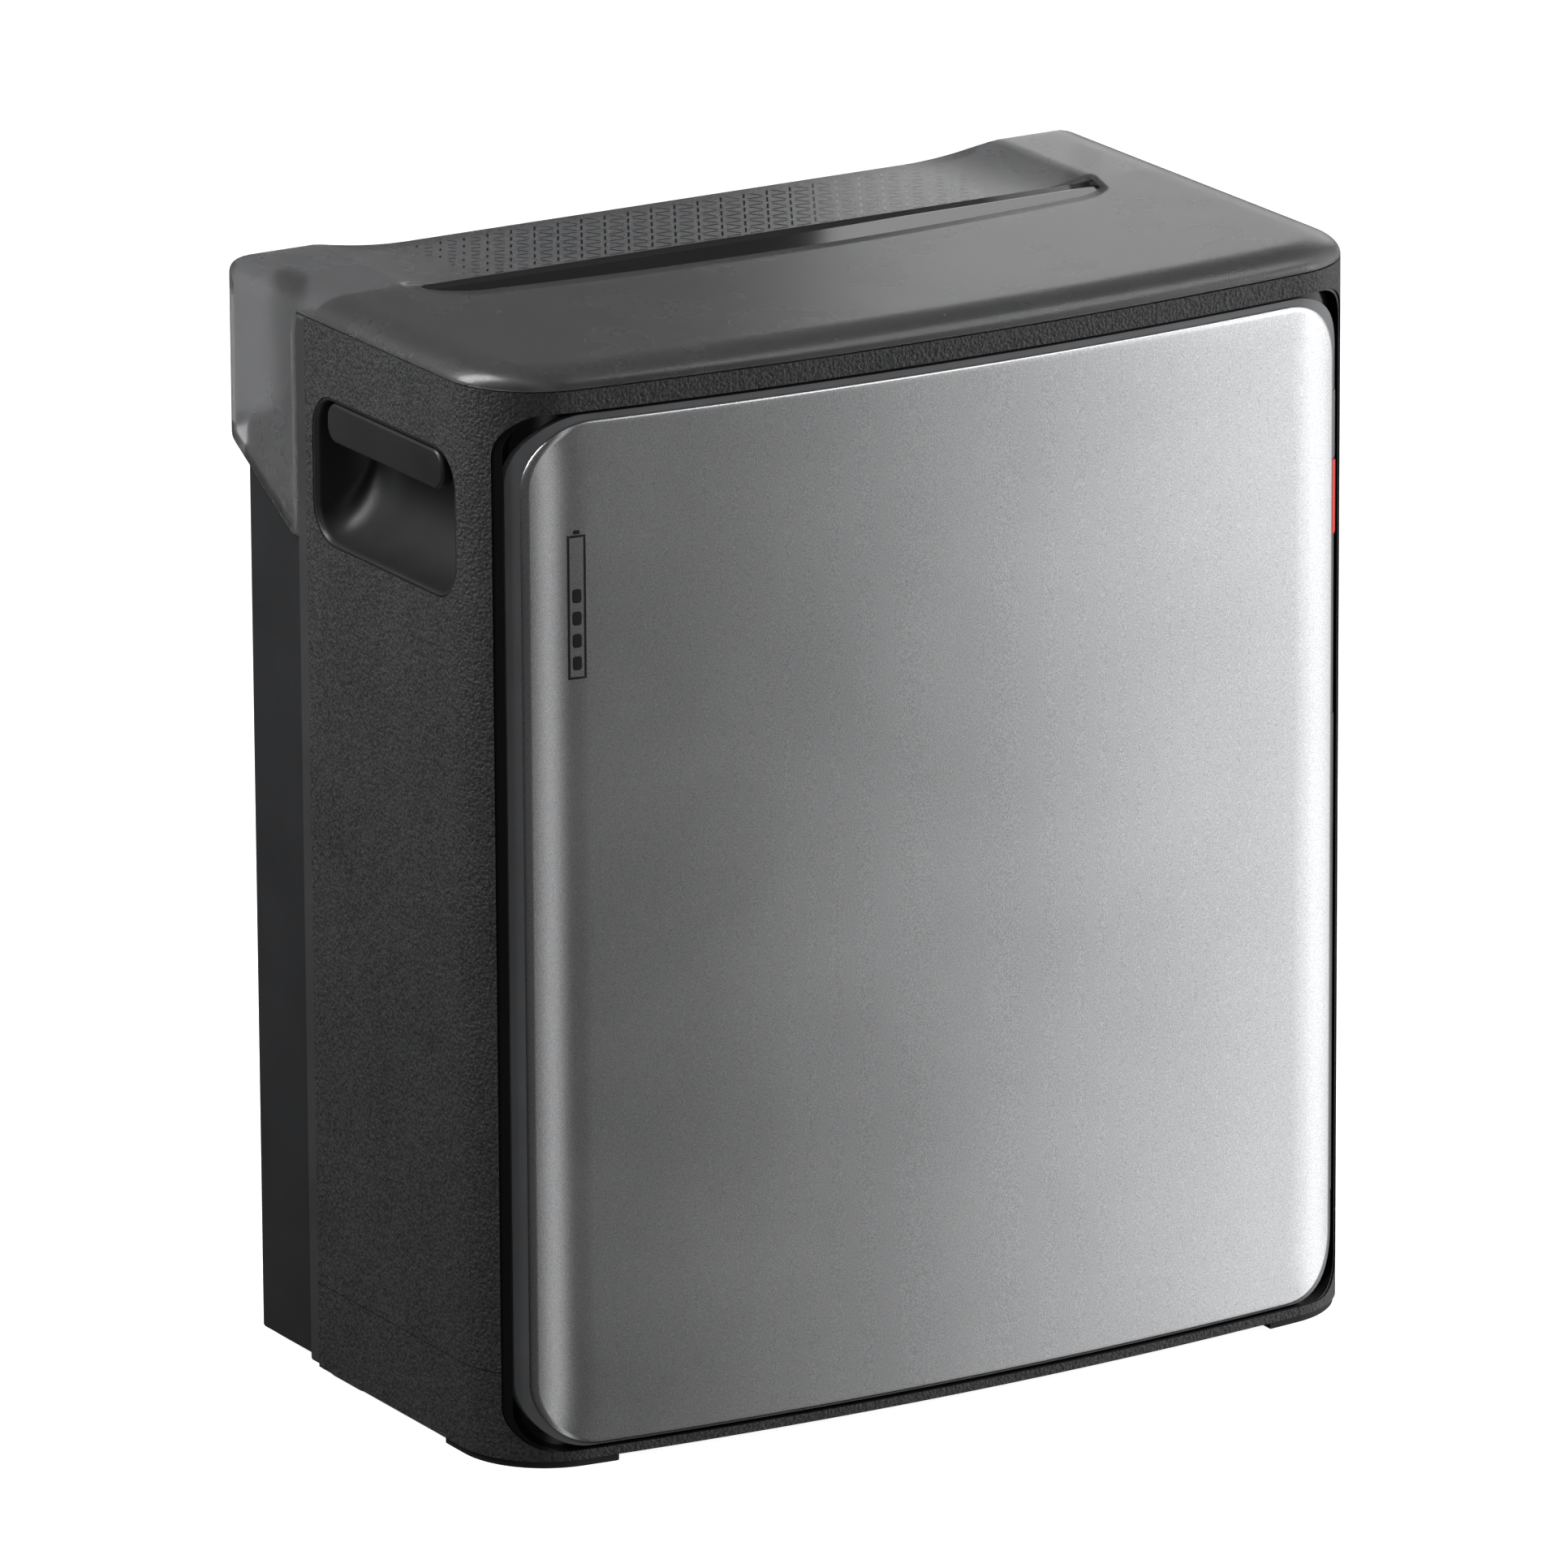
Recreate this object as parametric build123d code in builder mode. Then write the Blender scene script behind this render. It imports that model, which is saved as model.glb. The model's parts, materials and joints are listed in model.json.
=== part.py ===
# Home storage battery unit: a floor-standing, wall-anchored cabinet with a bowed metal front panel,
# carrying recesses in both sides, a cast rear casing and a lift-off translucent top cover.
#
# Millimetres.  X runs across the unit, -Y is its front, +Z is up.
# The origin is on the floor, in the middle of the footprint.

from build123d import *
import os
from math import cos, sin, sqrt, radians

os.makedirs("parts", exist_ok=True)

# ---- overall sizes ----
body_width = 640.0
body_depth = 370.0            # front of the bowed panel to the wall
foot_height = 5.0
housing_height = 692.5        # underside of the housing to the cover seam
housing_depth = 260.0         # front of the panel to the seam with the mid frame
cap_height = 56.0             # lower cap of the housing
front_bow_radius = 2230.0     # plan radius of the bowed front
corner_radius = 61.5          # plan radius of the two front corners
shell_wall = 3.0
seam_gap = 0.8
fit_gap = 0.3                 # running clearance between moulded pieces

# ---- top cover ----
cover_rise = 13.5             # seam to the top of the cover
cover_wall = 2.6
cover_depth = 368.5           # front of the panel to the back of the cover
cover_edge_radius = 12.0
cover_back_radius = 17.0
skirt_reach = 161.0           # top of the cover to the skirt's lower edge beside the mid frame
skirt_rise = 50.0             # how much higher the skirt ends at the back of the cover
recess_drop = 8.4             # top of the cover to the floor of the vent recess
recess_side = 66.0            # side of the cover to the end of the vent recess
recess_arc_run = 71.0         # how far each end of the recess floor climbs over
deck_back_gap = 10.0          # back edge of the deck to the seam with the mid frame
deck_strip_depth = 54.0       # deck left bare in front of the vent recess
deck_strip_bow = 8.0          # how far the strip's front edge bows forward
deck_strip_radius = 42.0
deck_clearance = 0.4

# ---- mid frame and rear casing ----
frame_thickness = 10.0
frame_rim = 24.0
gasket_thickness = 1.5
casing_inset = 4.0
casing_depth = 76.0
casing_wall = 4.0
casing_bottom = 9.0
casing_shoulder_drop = 22.5   # cover seam to where the casing's sloping top meets the mid frame
casing_slope_drop = 62.0      # from there to the wiring shelf at the foot of the slope
casing_slope_run = 37.0
casing_bevel_run = 11.0       # bevel between the shelf and the back
casing_bevel_rise = 15.0
casing_back_radius = 8.0
fin_height = 13.0
fin_thickness = 2.5
fin_pitch = 20.0
fin_margin = 40.0             # side of the casing to the fins
fin_bottom = 60.0
fin_bracket_gap = 30.0        # top of the fins to the wall bracket
fin_root = 1.0                # how far each fin is sunk into the back wall

# ---- wiring shelf ----
gland_count = 4
gland_pitch = 52.0
gland_bore_radius = 8.0
gland_hex_radius = 12.0
gland_height = 30.0
gland_cable_radius = 5.0
gland_cable_depth = 12.0
thread_gap = 0.1
vent_x = 150.0
connector_width = 34.0
connector_height = 52.0
connector_x = -170.0
comm_block_gap = 29.0         # sockets to the left-hand connector body
connector_gap = 6.0
connector_bore_radius = 8.0
connector_pin_radius = 3.0
connector_bore_depth = 20.0
shelf_part_depth = 22.0       # how deep the connectors and sockets are, front to back
comm_block_width = 48.0
comm_block_height = 26.0
comm_socket_width = 11.6
comm_socket_pitch = 15.0
earth_stud_x = 190.0
earth_stud_radius = 3.0
guide_width = 26.0
guide_side = 16.0             # side of the casing to the cover guide posts
guide_thickness = 12.0
guide_wall = 2.5

# ---- front panel group; heights are above the underside of the housing ----
window_side = 10.0            # side of the housing to the opening in its front
window_bottom = 6.0
window_head = 14.2            # cover seam to the top of the opening
window_radius = 28.0
groove_side = 15.0            # side of the housing to the inner edge of the smooth bezel
groove_margin = 0.6
groove_radius = 26.0
panel_frame_side = 16.8       # side of the housing to the panel frame
panel_frame_bottom = 7.6
panel_frame_head = 16.9       # cover seam to the panel frame
panel_frame_radius = 44.0
panel_side = 23.7             # side of the housing to the metal front panel
panel_bottom = 8.6
panel_head = 21.0             # cover seam to the metal front panel
panel_radius = 42.0
panel_inset = 0.4
panel_thickness = 2.6
panel_frame_thickness = 3.8
bezel_inset = 0.8
bezel_floor_inset = 7.4
bezel_floor_thickness = 2.0
bezel_inner_side = 40.0
bezel_inner_margin = 26.0

# ---- controls on the right-hand edge of the panel frame ----
control_angle = 45.0          # where they sit round the corner
control_width = 7.4
control_gap = 0.35
control_depth = 6.0
control_proud = 0.5
power_head = 85.7             # cover seam to the top of the power button
power_length = 44.9
button_gap = 0.8
stop_length = 48.8
light_low = 72.9
light_gap = 118.7             # stop button to the light bar
light_depth = 3.6
control_board_drop = 11.5
control_board_thickness = 1.6
control_board_width = 16.0
control_spacer_margin = 46.95

# ---- carrying handles ----
handle_centre = 160.8         # behind the front of the panel
handle_length = 180.4
handle_head = 45.5            # cover seam to the top of the recess
handle_height = 97.0
handle_radius = 25.0
handle_depth = 42.0
pocket_end = 15.2             # how much shorter the pocket is at each end
pocket_rise = 3.0             # how far the pocket reaches above the opening
pocket_height = 48.0
pocket_radius = 18.0
cup_wall = 2.2
cup_flange = 8.0
cup_flange_thickness = 2.4
grip_end = 17.7               # end of the grip to the end of the opening
grip_head = 3.4               # air gap above the grip
grip_height = 25.6
grip_radius = 11.0
grip_thickness = 5.0
grip_web_reach = 13.0
grip_web_height = 5.0

# ---- feet ----
foot_inset = 1.6
foot_side_run = 78.0          # the front feet run this far in from the side
foot_side_reach = 100.0       # how far back they run from the front of the panel
rear_foot_length = 46.0
foot_width = 26.0

# ---- battery module ----
cell_width = 174.0
cell_thickness = 71.5
cell_height = 204.0
cell_gap = 0.5
cell_corner_radius = 3.0
cells_per_row = 8
cell_back_gap = 18.0          # cells to the mid frame
tray_height = 9.0
tray_overhang = 6.0
skid_height = 5.0             # rails that hold the lower tray off the floor
skid_width = 12.0
row_gap = 42.0                # top of the lower cells to the foot of the upper ones
terminal_radius = 7.0
terminal_height = 4.0
terminal_inset = 31.0         # front and back of a cell to the middle of its terminals
busbar_thickness = 3.0
busbar_width = 26.0
busbar_overlap = 8.0          # past the middle of each terminal
riser_width = 18.0
riser_clear = 2.0             # risers to the front edge of the trays
end_plate_thickness = 10.0
end_skin_thickness = 3.0

# ---- battery electronics ----
lid_rise = 18.0               # top of the upper cells to the lid
lid_thickness = 3.0
standoff_height = 8.0
standoff_radius = 4.0
bms_x = -120.0
bms_width = 220.0
bms_depth = 130.0
board_thickness = 1.6
fuse_x = 40.0
fuse_length = 60.0
fuse_radius = 14.0
fuse_base_length = 84.0
contactor_x = 120.0
contactor_pitch = 70.0
contactor_width = 56.0
contactor_depth = 66.0
contactor_height = 52.0

# ---- power electronics in the rear casing ----
power_board_side = 56.0       # side of the casing to the board
power_board_head = 93.0       # wiring shelf to the board
power_board_low = 140.0
boss_height = 4.0
boss_radius = 5.0
capacitor_radius = 15.0
capacitor_height = 42.0
capacitor_pitch = 36.0
inductor_radius = 30.0
inductor_bore = 12.0
inductor_height = 30.0

# ---- wall bracket ----
bracket_width = 420.0
bracket_height = 110.0
bracket_drop = 173.0          # wiring shelf to the lower edge of the bracket
bracket_thickness = 3.0
bracket_hole_radius = 4.5
bracket_hole_side = 30.0      # side of the bracket to its wall holes
bracket_hole_rise = 70.0
hook_reach = 14.0             # bracket plate to the tip of its hook
hook_rise = 16.0
hook_half = 160.0
rail_gap = 0.5                # hook to the hanger rail
rail_half = 150.0
rail_plate_height = 22.0
rail_drop = 18.0
rail_screw_pitch = 56.0
rail_screw_count = 5
rail_screw_radius = 3.0
rail_screw_head_radius = 4.5
bumper_low = 54.0
bumper_high = 98.0
bumper_width = 34.0
bumper_proud = 3.0

# ---- values worked out from the sizes above ----
front_y = -body_depth / 2
wall_y = body_depth / 2
half_width = body_width / 2
base_z = foot_height
seam_z = foot_height + housing_height
cap_top_z = foot_height + cap_height
top_z = seam_z + cover_rise
seam_y = front_y + housing_depth
frame_back_y = seam_y + frame_thickness
casing_front_y = frame_back_y + gasket_thickness
casing_back_y = frame_back_y + casing_depth
cover_back_y = front_y + cover_depth
recess_floor_z = top_z - recess_drop
casing_half = half_width - casing_inset
corner_x = half_width - corner_radius
skirt_low = top_z - skirt_reach
skirt_high = skirt_low + skirt_rise
recess_half_width = half_width - recess_side
recess_flat_half = recess_half_width - recess_arc_run
deck_back_y = seam_y - deck_back_gap
casing_shoulder = seam_z - casing_shoulder_drop
casing_shelf = casing_shoulder - casing_slope_drop
guide_x = casing_half - guide_side
comm_block_x = connector_x - connector_width / 2 - comm_block_gap - comm_block_width / 2
window_half = half_width - window_side
window_top = housing_height - window_head
groove_half = half_width - groove_side
frame_half = half_width - panel_frame_side
panel_frame_top = housing_height - panel_frame_head
panel_half = half_width - panel_side
panel_top = housing_height - panel_head
bezel_inner_half = half_width - bezel_inner_side
power_high = housing_height - power_head
power_low = power_high - power_length
stop_high = power_low - button_gap
stop_low = stop_high - stop_length
light_high = stop_low - light_gap
control_spacer_span = power_high - light_low - 2 * control_spacer_margin
handle_high = housing_height - handle_head
handle_low = handle_high - handle_height
pocket_length = handle_length - 2 * pocket_end
pocket_high = handle_high + pocket_rise
pocket_low = pocket_high - pocket_height
grip_length = handle_length - 2 * grip_end
grip_high = handle_high - grip_head
grip_low = grip_high - grip_height
foot_start_x = half_width - foot_side_run
cell_pitch = cell_thickness + cell_gap
row_pitch = cell_height + row_gap
terminal_spread = cell_width - 2 * terminal_inset
bracket_low = casing_shelf - bracket_drop
bracket_hole_span = bracket_width - 2 * bracket_hole_side
fin_count = int((2 * casing_half - 2 * fin_margin) / fin_pitch)
fin_length = bracket_low - fin_bracket_gap - fin_bottom
power_board_width = 2 * casing_half - 2 * power_board_side
power_board_height = casing_shelf - power_board_head - power_board_low
power_board_z = power_board_low + power_board_height / 2
corner_y = front_y + front_bow_radius - sqrt((front_bow_radius - corner_radius) ** 2 - corner_x ** 2)
handle_y = front_y + handle_centre
panel_frame_inset = panel_inset + panel_thickness
rear_foot_x = half_width - foot_inset - foot_width / 2 - 4
shelf_front_y = frame_back_y + casing_slope_run
shelf_back_y = casing_back_y - casing_bevel_run
shelf_y = (shelf_front_y + shelf_back_y) / 2
bracket_middle_z = bracket_low + bracket_height / 2
hook_root_y = wall_y - bracket_thickness
hook_tip_y = hook_root_y - hook_reach
rail_back_y = hook_tip_y + 2 * bracket_thickness + rail_gap
rail_screw_z = bracket_middle_z + rail_drop + rail_plate_height / 2


def plan_outline(inset, back_y, back_radius=0.0):
    """Plan of the unit drawn inset within its skin and cut straight at back_y."""
    half = half_width - inset
    bow = front_bow_radius - inset
    apex = front_y + inset
    shoulder = apex + bow - sqrt(bow ** 2 - half ** 2)
    with BuildSketch(mode=Mode.PRIVATE) as outline:
        with BuildLine():
            ThreePointArc((-half, shoulder), (0, apex), (half, shoulder))
            Polyline((half, shoulder), (half, back_y), (-half, back_y), (-half, shoulder))
        make_face()
        fillet(outline.vertices().group_by(Axis.Y)[0], corner_radius - inset)
        if back_radius > 0:
            fillet(outline.vertices().group_by(Axis.Y)[-1], back_radius)
    return outline.sketch


def bent_sheet(outer_inset, inner_inset, bottom, top, back_y):
    """A sheet that follows the front and both sides, between two insets from the skin."""
    with BuildPart(mode=Mode.PRIVATE) as sheet:
        with BuildSketch(Plane.XY.offset(bottom)):
            add(plan_outline(outer_inset, back_y))
            add(plan_outline(inner_inset, back_y + 1), mode=Mode.SUBTRACT)
        extrude(amount=top - bottom)
    return sheet.part


def front_window(half, low, high, radius, reach=90.0):
    """A block with the outline of a rounded window in the front; low and high are above the underside."""
    with BuildPart(mode=Mode.PRIVATE) as block:
        with BuildSketch(Plane.XZ.offset(1 - front_y)):
            with Locations((0, base_z + (low + high) / 2)):
                RectangleRounded(2 * half, high - low, radius)
        extrude(amount=-reach)
    return block.part


def side_window(side, grow=0.0, reach=12.0):
    """A block with the outline of a carrying recess, through one side wall."""
    with BuildPart(mode=Mode.PRIVATE) as block:
        with BuildSketch(Plane.YZ.offset(side * half_width)):
            with Locations((handle_y, base_z + (handle_low + handle_high) / 2)):
                RectangleRounded(
                    handle_length + 2 * grow,
                    handle_high - handle_low + 2 * grow,
                    handle_radius + grow,
                )
        extrude(amount=reach, both=True)
    return block.part


def control_plane(low, high, depth=0.0):
    """A plane on the panel frame's right-hand edge, depth below its surface; local X points up."""
    reach = corner_radius - panel_frame_inset - depth
    angle = radians(control_angle)
    middle = base_z + (low + high) / 2
    return Plane(
        origin=(corner_x + reach * cos(angle), corner_y - reach * sin(angle), middle),
        x_dir=(0, 0, 1),
        z_dir=(cos(angle), -sin(angle), 0),
    )


def control_block(low, high, grow, depth, proud):
    """The body of one control: a rounded bar that passes through the panel frame's edge."""
    with BuildPart(mode=Mode.PRIVATE) as block:
        with BuildSketch(control_plane(low, high, depth)):
            RectangleRounded(high - low + 2 * grow, control_width + 2 * grow, 1.6 + grow)
        extrude(amount=depth + proud)
    return block.part


def save(part, name):
    """Label a finished piece and write it to its own file."""
    part.label = name
    export_step(part, f"parts/{name}.step")
    print(f"{name}: {len(part.solids())} solid(s), {part.volume / 1000:.1f} cm3")


# ---- housing: moulded shell round the front and sides ----
with BuildPart() as main_housing:
    add(bent_sheet(0, shell_wall, cap_top_z + seam_gap, seam_z - seam_gap, seam_y))
    add(front_window(window_half, window_bottom, window_top, window_radius), mode=Mode.SUBTRACT)
    for side in (-1, 1):
        add(side_window(side), mode=Mode.SUBTRACT)
save(main_housing.part, "main_housing")

# ---- base cap: lower end of the housing, with the floor ----
with BuildPart() as base_cap:
    add(bent_sheet(0, shell_wall, base_z, cap_top_z, seam_y))
    with BuildSketch(Plane.XY.offset(base_z)):
        add(plan_outline(shell_wall, seam_y))
    extrude(amount=shell_wall)
    add(front_window(window_half, window_bottom, window_top, window_radius), mode=Mode.SUBTRACT)
    # two grilles let cooling air in under the cells
    with BuildSketch(Plane.XY.offset(base_z)):
        for side in (-1, 1):
            with Locations((side * body_width / 4, -30)):
                with GridLocations(14, 0, 11, 1):
                    SlotOverall(80, 5, rotation=90)
    extrude(amount=shell_wall, mode=Mode.SUBTRACT)
save(base_cap.part, "base_cap")

# ---- feet: low plinths that follow the outline ----
foot_back_y = front_y + foot_side_reach
for side, name in ((-1, "foot_front_left"), (1, "foot_front_right")):
    with BuildPart() as foot:
        with BuildSketch():
            add(plan_outline(foot_inset, foot_back_y))
            add(plan_outline(foot_inset + foot_width, foot_back_y + 1), mode=Mode.SUBTRACT)
            with Locations((side * (foot_start_x + half_width), front_y + foot_side_reach / 2)):
                Rectangle(2 * half_width, foot_side_reach + 2, mode=Mode.INTERSECT)
        extrude(amount=foot_height)
        chamfer(foot.edges().group_by(Axis.Z)[0], 0.8)
    save(foot.part, name)

for side, name in ((-1, "foot_rear_left"), (1, "foot_rear_right")):
    with BuildPart() as foot:
        with BuildSketch():
            with Locations((side * rear_foot_x, seam_y - rear_foot_length / 2 - 2)):
                RectangleRounded(foot_width, rear_foot_length, 6)
        extrude(amount=foot_height)
        chamfer(foot.edges().group_by(Axis.Z)[0], 0.8)
    save(foot.part, name)

# ---- panel bezel: smooth ring in the housing's front opening, with a ledge behind the panel ----
with BuildPart() as panel_bezel:
    add(bent_sheet(bezel_inset, bezel_floor_inset + bezel_floor_thickness, base_z, seam_z, seam_y))
    add(
        front_window(
            window_half - fit_gap,
            window_bottom + fit_gap,
            window_top - fit_gap,
            window_radius - fit_gap,
        ),
        mode=Mode.INTERSECT,
    )
    add(
        front_window(
            bezel_inner_half,
            window_bottom + bezel_inner_margin,
            window_top - bezel_inner_margin,
            groove_radius,
        ),
        mode=Mode.SUBTRACT,
    )
with BuildPart() as bezel_pocket:
    add(bent_sheet(-1, bezel_floor_inset, base_z, seam_z, seam_y))
    add(
        front_window(
            groove_half,
            window_bottom + groove_margin,
            window_top - groove_margin,
            groove_radius,
        ),
        mode=Mode.INTERSECT,
    )
with BuildPart() as bezel_finished:
    add(panel_bezel.part)
    add(bezel_pocket.part, mode=Mode.SUBTRACT)
    add(control_block(light_low - 4, power_high + 4, 1.0, control_board_drop + 4, 0.2), mode=Mode.SUBTRACT)
save(bezel_finished.part, "panel_bezel")

# ---- panel frame: grey carrier whose edge shows all round the metal panel ----
with BuildPart() as panel_frame:
    add(
        bent_sheet(
            panel_frame_inset,
            panel_frame_inset + panel_frame_thickness,
            base_z,
            seam_z,
            seam_y,
        )
    )
    add(
        front_window(frame_half, panel_frame_bottom, panel_frame_top, panel_frame_radius),
        mode=Mode.INTERSECT,
    )
    for low, high in ((power_low, power_high), (stop_low, stop_high), (light_low, light_high)):
        add(control_block(low, high, control_gap, control_board_drop, 2.0), mode=Mode.SUBTRACT)
save(panel_frame.part, "panel_frame")

# ---- front panel: bowed metal sheet ----
with BuildPart() as front_panel:
    add(bent_sheet(panel_inset, panel_frame_inset, base_z, seam_z, seam_y))
    add(front_window(panel_half, panel_bottom, panel_top, panel_radius), mode=Mode.INTERSECT)
save(front_panel.part, "front_panel")

# ---- controls ----
with BuildPart() as power_button:
    add(control_block(power_low, power_high, 0, control_depth, control_proud))
    fillet(power_button.faces().sort_by(Axis(origin=(0, 0, 0), direction=(1, -1, 0)))[-1].edges(), 0.6)
save(power_button.part, "power_button")

with BuildPart() as stop_button:
    add(control_block(stop_low, stop_high, 0, control_depth, control_proud + 0.4))
    fillet(stop_button.faces().sort_by(Axis(origin=(0, 0, 0), direction=(1, -1, 0)))[-1].edges(), 0.6)
save(stop_button.part, "stop_button")

with BuildPart() as light_bar:
    add(control_block(light_low, light_high, 0, light_depth, control_proud))
    fillet(light_bar.faces().sort_by(Axis(origin=(0, 0, 0), direction=(1, -1, 0)))[-1].edges(), 0.6)
save(light_bar.part, "light_bar")

with BuildPart() as control_board:
    with BuildSketch(control_plane(light_low, power_high, control_board_drop + control_board_thickness)):
        Rectangle(power_high - light_low, control_board_width)
    extrude(amount=control_board_thickness)
    # tact switches under the two buttons
    for low, high in ((power_low, power_high), (stop_low, stop_high)):
        with BuildSketch(control_plane(low, high, control_board_drop)):
            Rectangle(6, 6)
        extrude(amount=0.8)
    # spacers that bear on the back of the bezel
    with BuildSketch(control_plane(light_low, power_high, control_board_drop)):
        with GridLocations(control_spacer_span, control_board_width - 2, 2, 2):
            Rectangle(8, 2)
    extrude(amount=control_board_drop - bezel_floor_inset - bezel_floor_thickness + panel_frame_inset - 1.0)
save(control_board.part, "control_board")


# ---- carrying handles ----
def handle_section(x, length, low, high, radius):
    """Rounded rectangle of a handle at one distance from the middle of the unit."""
    with BuildSketch(Plane.YZ.offset(x), mode=Mode.PRIVATE) as section:
        with Locations((handle_y, base_z + (low + high) / 2)):
            RectangleRounded(length, high - low, radius)
    return section.sketch


rim_gap = fit_gap + 0.05
rim_length = handle_length - 2 * rim_gap
rim_low = handle_low + rim_gap
rim_high = handle_high - rim_gap
rim_radius = handle_radius - rim_gap
with BuildPart() as inside_room:
    with BuildSketch(Plane.XY.offset(base_z + handle_low - 2 * cup_flange)):
        add(plan_outline(shell_wall + fit_gap, seam_y))
    extrude(amount=handle_high - handle_low + 4 * cup_flange)

for side, name in ((-1, "left"), (1, "right")):
    inner_face = side * (half_width - shell_wall - fit_gap)
    grip_face = side * (half_width - 0.6)
    with BuildPart() as scoop:
        loft(
            [
                handle_section(
                    side * (half_width + 0.5),
                    rim_length - 2 * cup_wall,
                    rim_low + cup_wall,
                    rim_high - cup_wall,
                    rim_radius - cup_wall,
                ),
                handle_section(
                    side * (half_width - handle_depth), pocket_length, pocket_low, pocket_high, pocket_radius
                ),
            ]
        )
    with BuildPart() as cup:
        # flange that bears on the inside of the housing
        extrude(
            handle_section(
                inner_face,
                handle_length + 2 * cup_flange,
                handle_low - cup_flange,
                handle_high + cup_flange,
                handle_radius + cup_flange,
            ),
            amount=-side * cup_flange_thickness,
        )
        # bowl
        loft(
            [
                handle_section(inner_face, rim_length, rim_low, rim_high, rim_radius),
                handle_section(
                    side * (half_width - handle_depth - cup_wall),
                    pocket_length + 2 * cup_wall,
                    pocket_low - cup_wall,
                    pocket_high + cup_wall,
                    pocket_radius + cup_wall,
                ),
            ]
        )
        add(inside_room.part, mode=Mode.INTERSECT)
        # rim that fills the opening in the housing
        extrude(
            handle_section(inner_face - side * cup_wall, rim_length, rim_low, rim_high, rim_radius),
            amount=side * (cup_wall + shell_wall + fit_gap - 0.5),
        )
        add(scoop.part, mode=Mode.SUBTRACT)
    save(cup.part, f"handle_cup_{name}")

    with BuildPart() as grip:
        extrude(
            handle_section(grip_face, grip_length, grip_low, grip_high, grip_radius),
            amount=-side * grip_thickness,
        )
        extrude(
            handle_section(
                grip_face - side * grip_thickness,
                grip_length - 2 * grip_radius,
                grip_high - grip_web_height,
                grip_high,
                grip_web_height / 2 - 0.1,
            ),
            amount=-side * grip_web_reach,
        )
    save(grip.part, f"handle_grip_{name}")

# ---- mid frame: ring between the housing and the rear casing ----
with BuildPart() as mid_frame:
    with BuildSketch(Plane.XZ.offset(-seam_y)):
        with Locations((0, (base_z + seam_z) / 2)):
            RectangleRounded(body_width, housing_height - 2 * seam_gap, 3)
            Rectangle(
                body_width - 2 * frame_rim, housing_height - 2 * frame_rim, mode=Mode.SUBTRACT
            )
    extrude(amount=-frame_thickness)
save(mid_frame.part, "mid_frame")


# ---- rear casing: cast tub with cooling fins and a sloping top over the wiring shelf ----
def casing_profile(shrink):
    """Side view of the rear casing, drawn shrink within its outer surface."""
    with BuildSketch(Plane.YZ, mode=Mode.PRIVATE) as profile:
        with BuildLine():
            Polyline(
                (casing_front_y - shrink, casing_bottom + shrink),
                (casing_front_y - shrink, casing_shoulder - 1.6 * shrink),
                (shelf_front_y - 0.7 * shrink, casing_shelf - shrink),
                (shelf_back_y - shrink, casing_shelf - shrink),
                (casing_back_y - shrink, casing_shelf - casing_bevel_rise - shrink),
                (casing_back_y - shrink, casing_bottom + 2 + shrink),
                (casing_back_y - 8 - shrink, casing_bottom + shrink),
                close=True,
            )
        make_face()
    return profile.sketch


with BuildPart() as rear_casing:
    extrude(casing_profile(0), amount=casing_half, both=True)
    fillet(
        rear_casing.edges().filter_by(Axis.Z).group_by(Axis.Y)[-1],
        casing_back_radius,
    )
    extrude(casing_profile(casing_wall), amount=casing_half - casing_wall, both=True, mode=Mode.SUBTRACT)
    # vertical cooling fins below the wall bracket
    with BuildSketch(Plane.XZ.offset(fin_root - casing_back_y)):
        with Locations((0, fin_bottom + fin_length / 2)):
            with GridLocations(fin_pitch, 0, fin_count, 1):
                Rectangle(fin_thickness, fin_length)
    extrude(amount=-fin_height - fin_root)
    # bosses inside the back wall carry the power board
    with BuildSketch(Plane.XZ.offset(casing_wall - casing_back_y)):
        with Locations((0, power_board_z)):
            with GridLocations(power_board_width - 30, power_board_height - 30, 2, 2):
                Circle(boss_radius)
    extrude(amount=boss_height)
    # tapped holes for the hanger rail
    with BuildSketch(Plane.XZ.offset(-casing_back_y)):
        with Locations((0, rail_screw_z)):
            with GridLocations(rail_screw_pitch, 0, rail_screw_count, 1):
                Circle(rail_screw_radius + thread_gap)
    extrude(amount=casing_wall, mode=Mode.SUBTRACT)
    # bores for the cable glands and the pressure vent, through the wiring shelf
    with BuildSketch(Plane.XY.offset(casing_shelf - casing_wall - 1)):
        with Locations((0, shelf_y)):
            with GridLocations(gland_pitch, 0, gland_count, 1):
                Circle(gland_bore_radius)
        with Locations((vent_x, shelf_y)):
            Circle(gland_bore_radius)
    extrude(amount=casing_wall + 2, mode=Mode.SUBTRACT)
save(rear_casing.part, "rear_casing")

with BuildPart() as casing_gasket:
    with BuildSketch(Plane.XZ.offset(-frame_back_y)):
        with Locations((0, (casing_bottom + casing_shoulder) / 2)):
            Rectangle(2 * casing_half - 2, casing_shoulder - casing_bottom - 2)
            Rectangle(
                2 * casing_half - 2 * casing_wall - 4,
                casing_shoulder - casing_bottom - 2 * casing_wall - 8,
                mode=Mode.SUBTRACT,
            )
    extrude(amount=-gasket_thickness)
save(casing_gasket.part, "casing_gasket")

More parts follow.
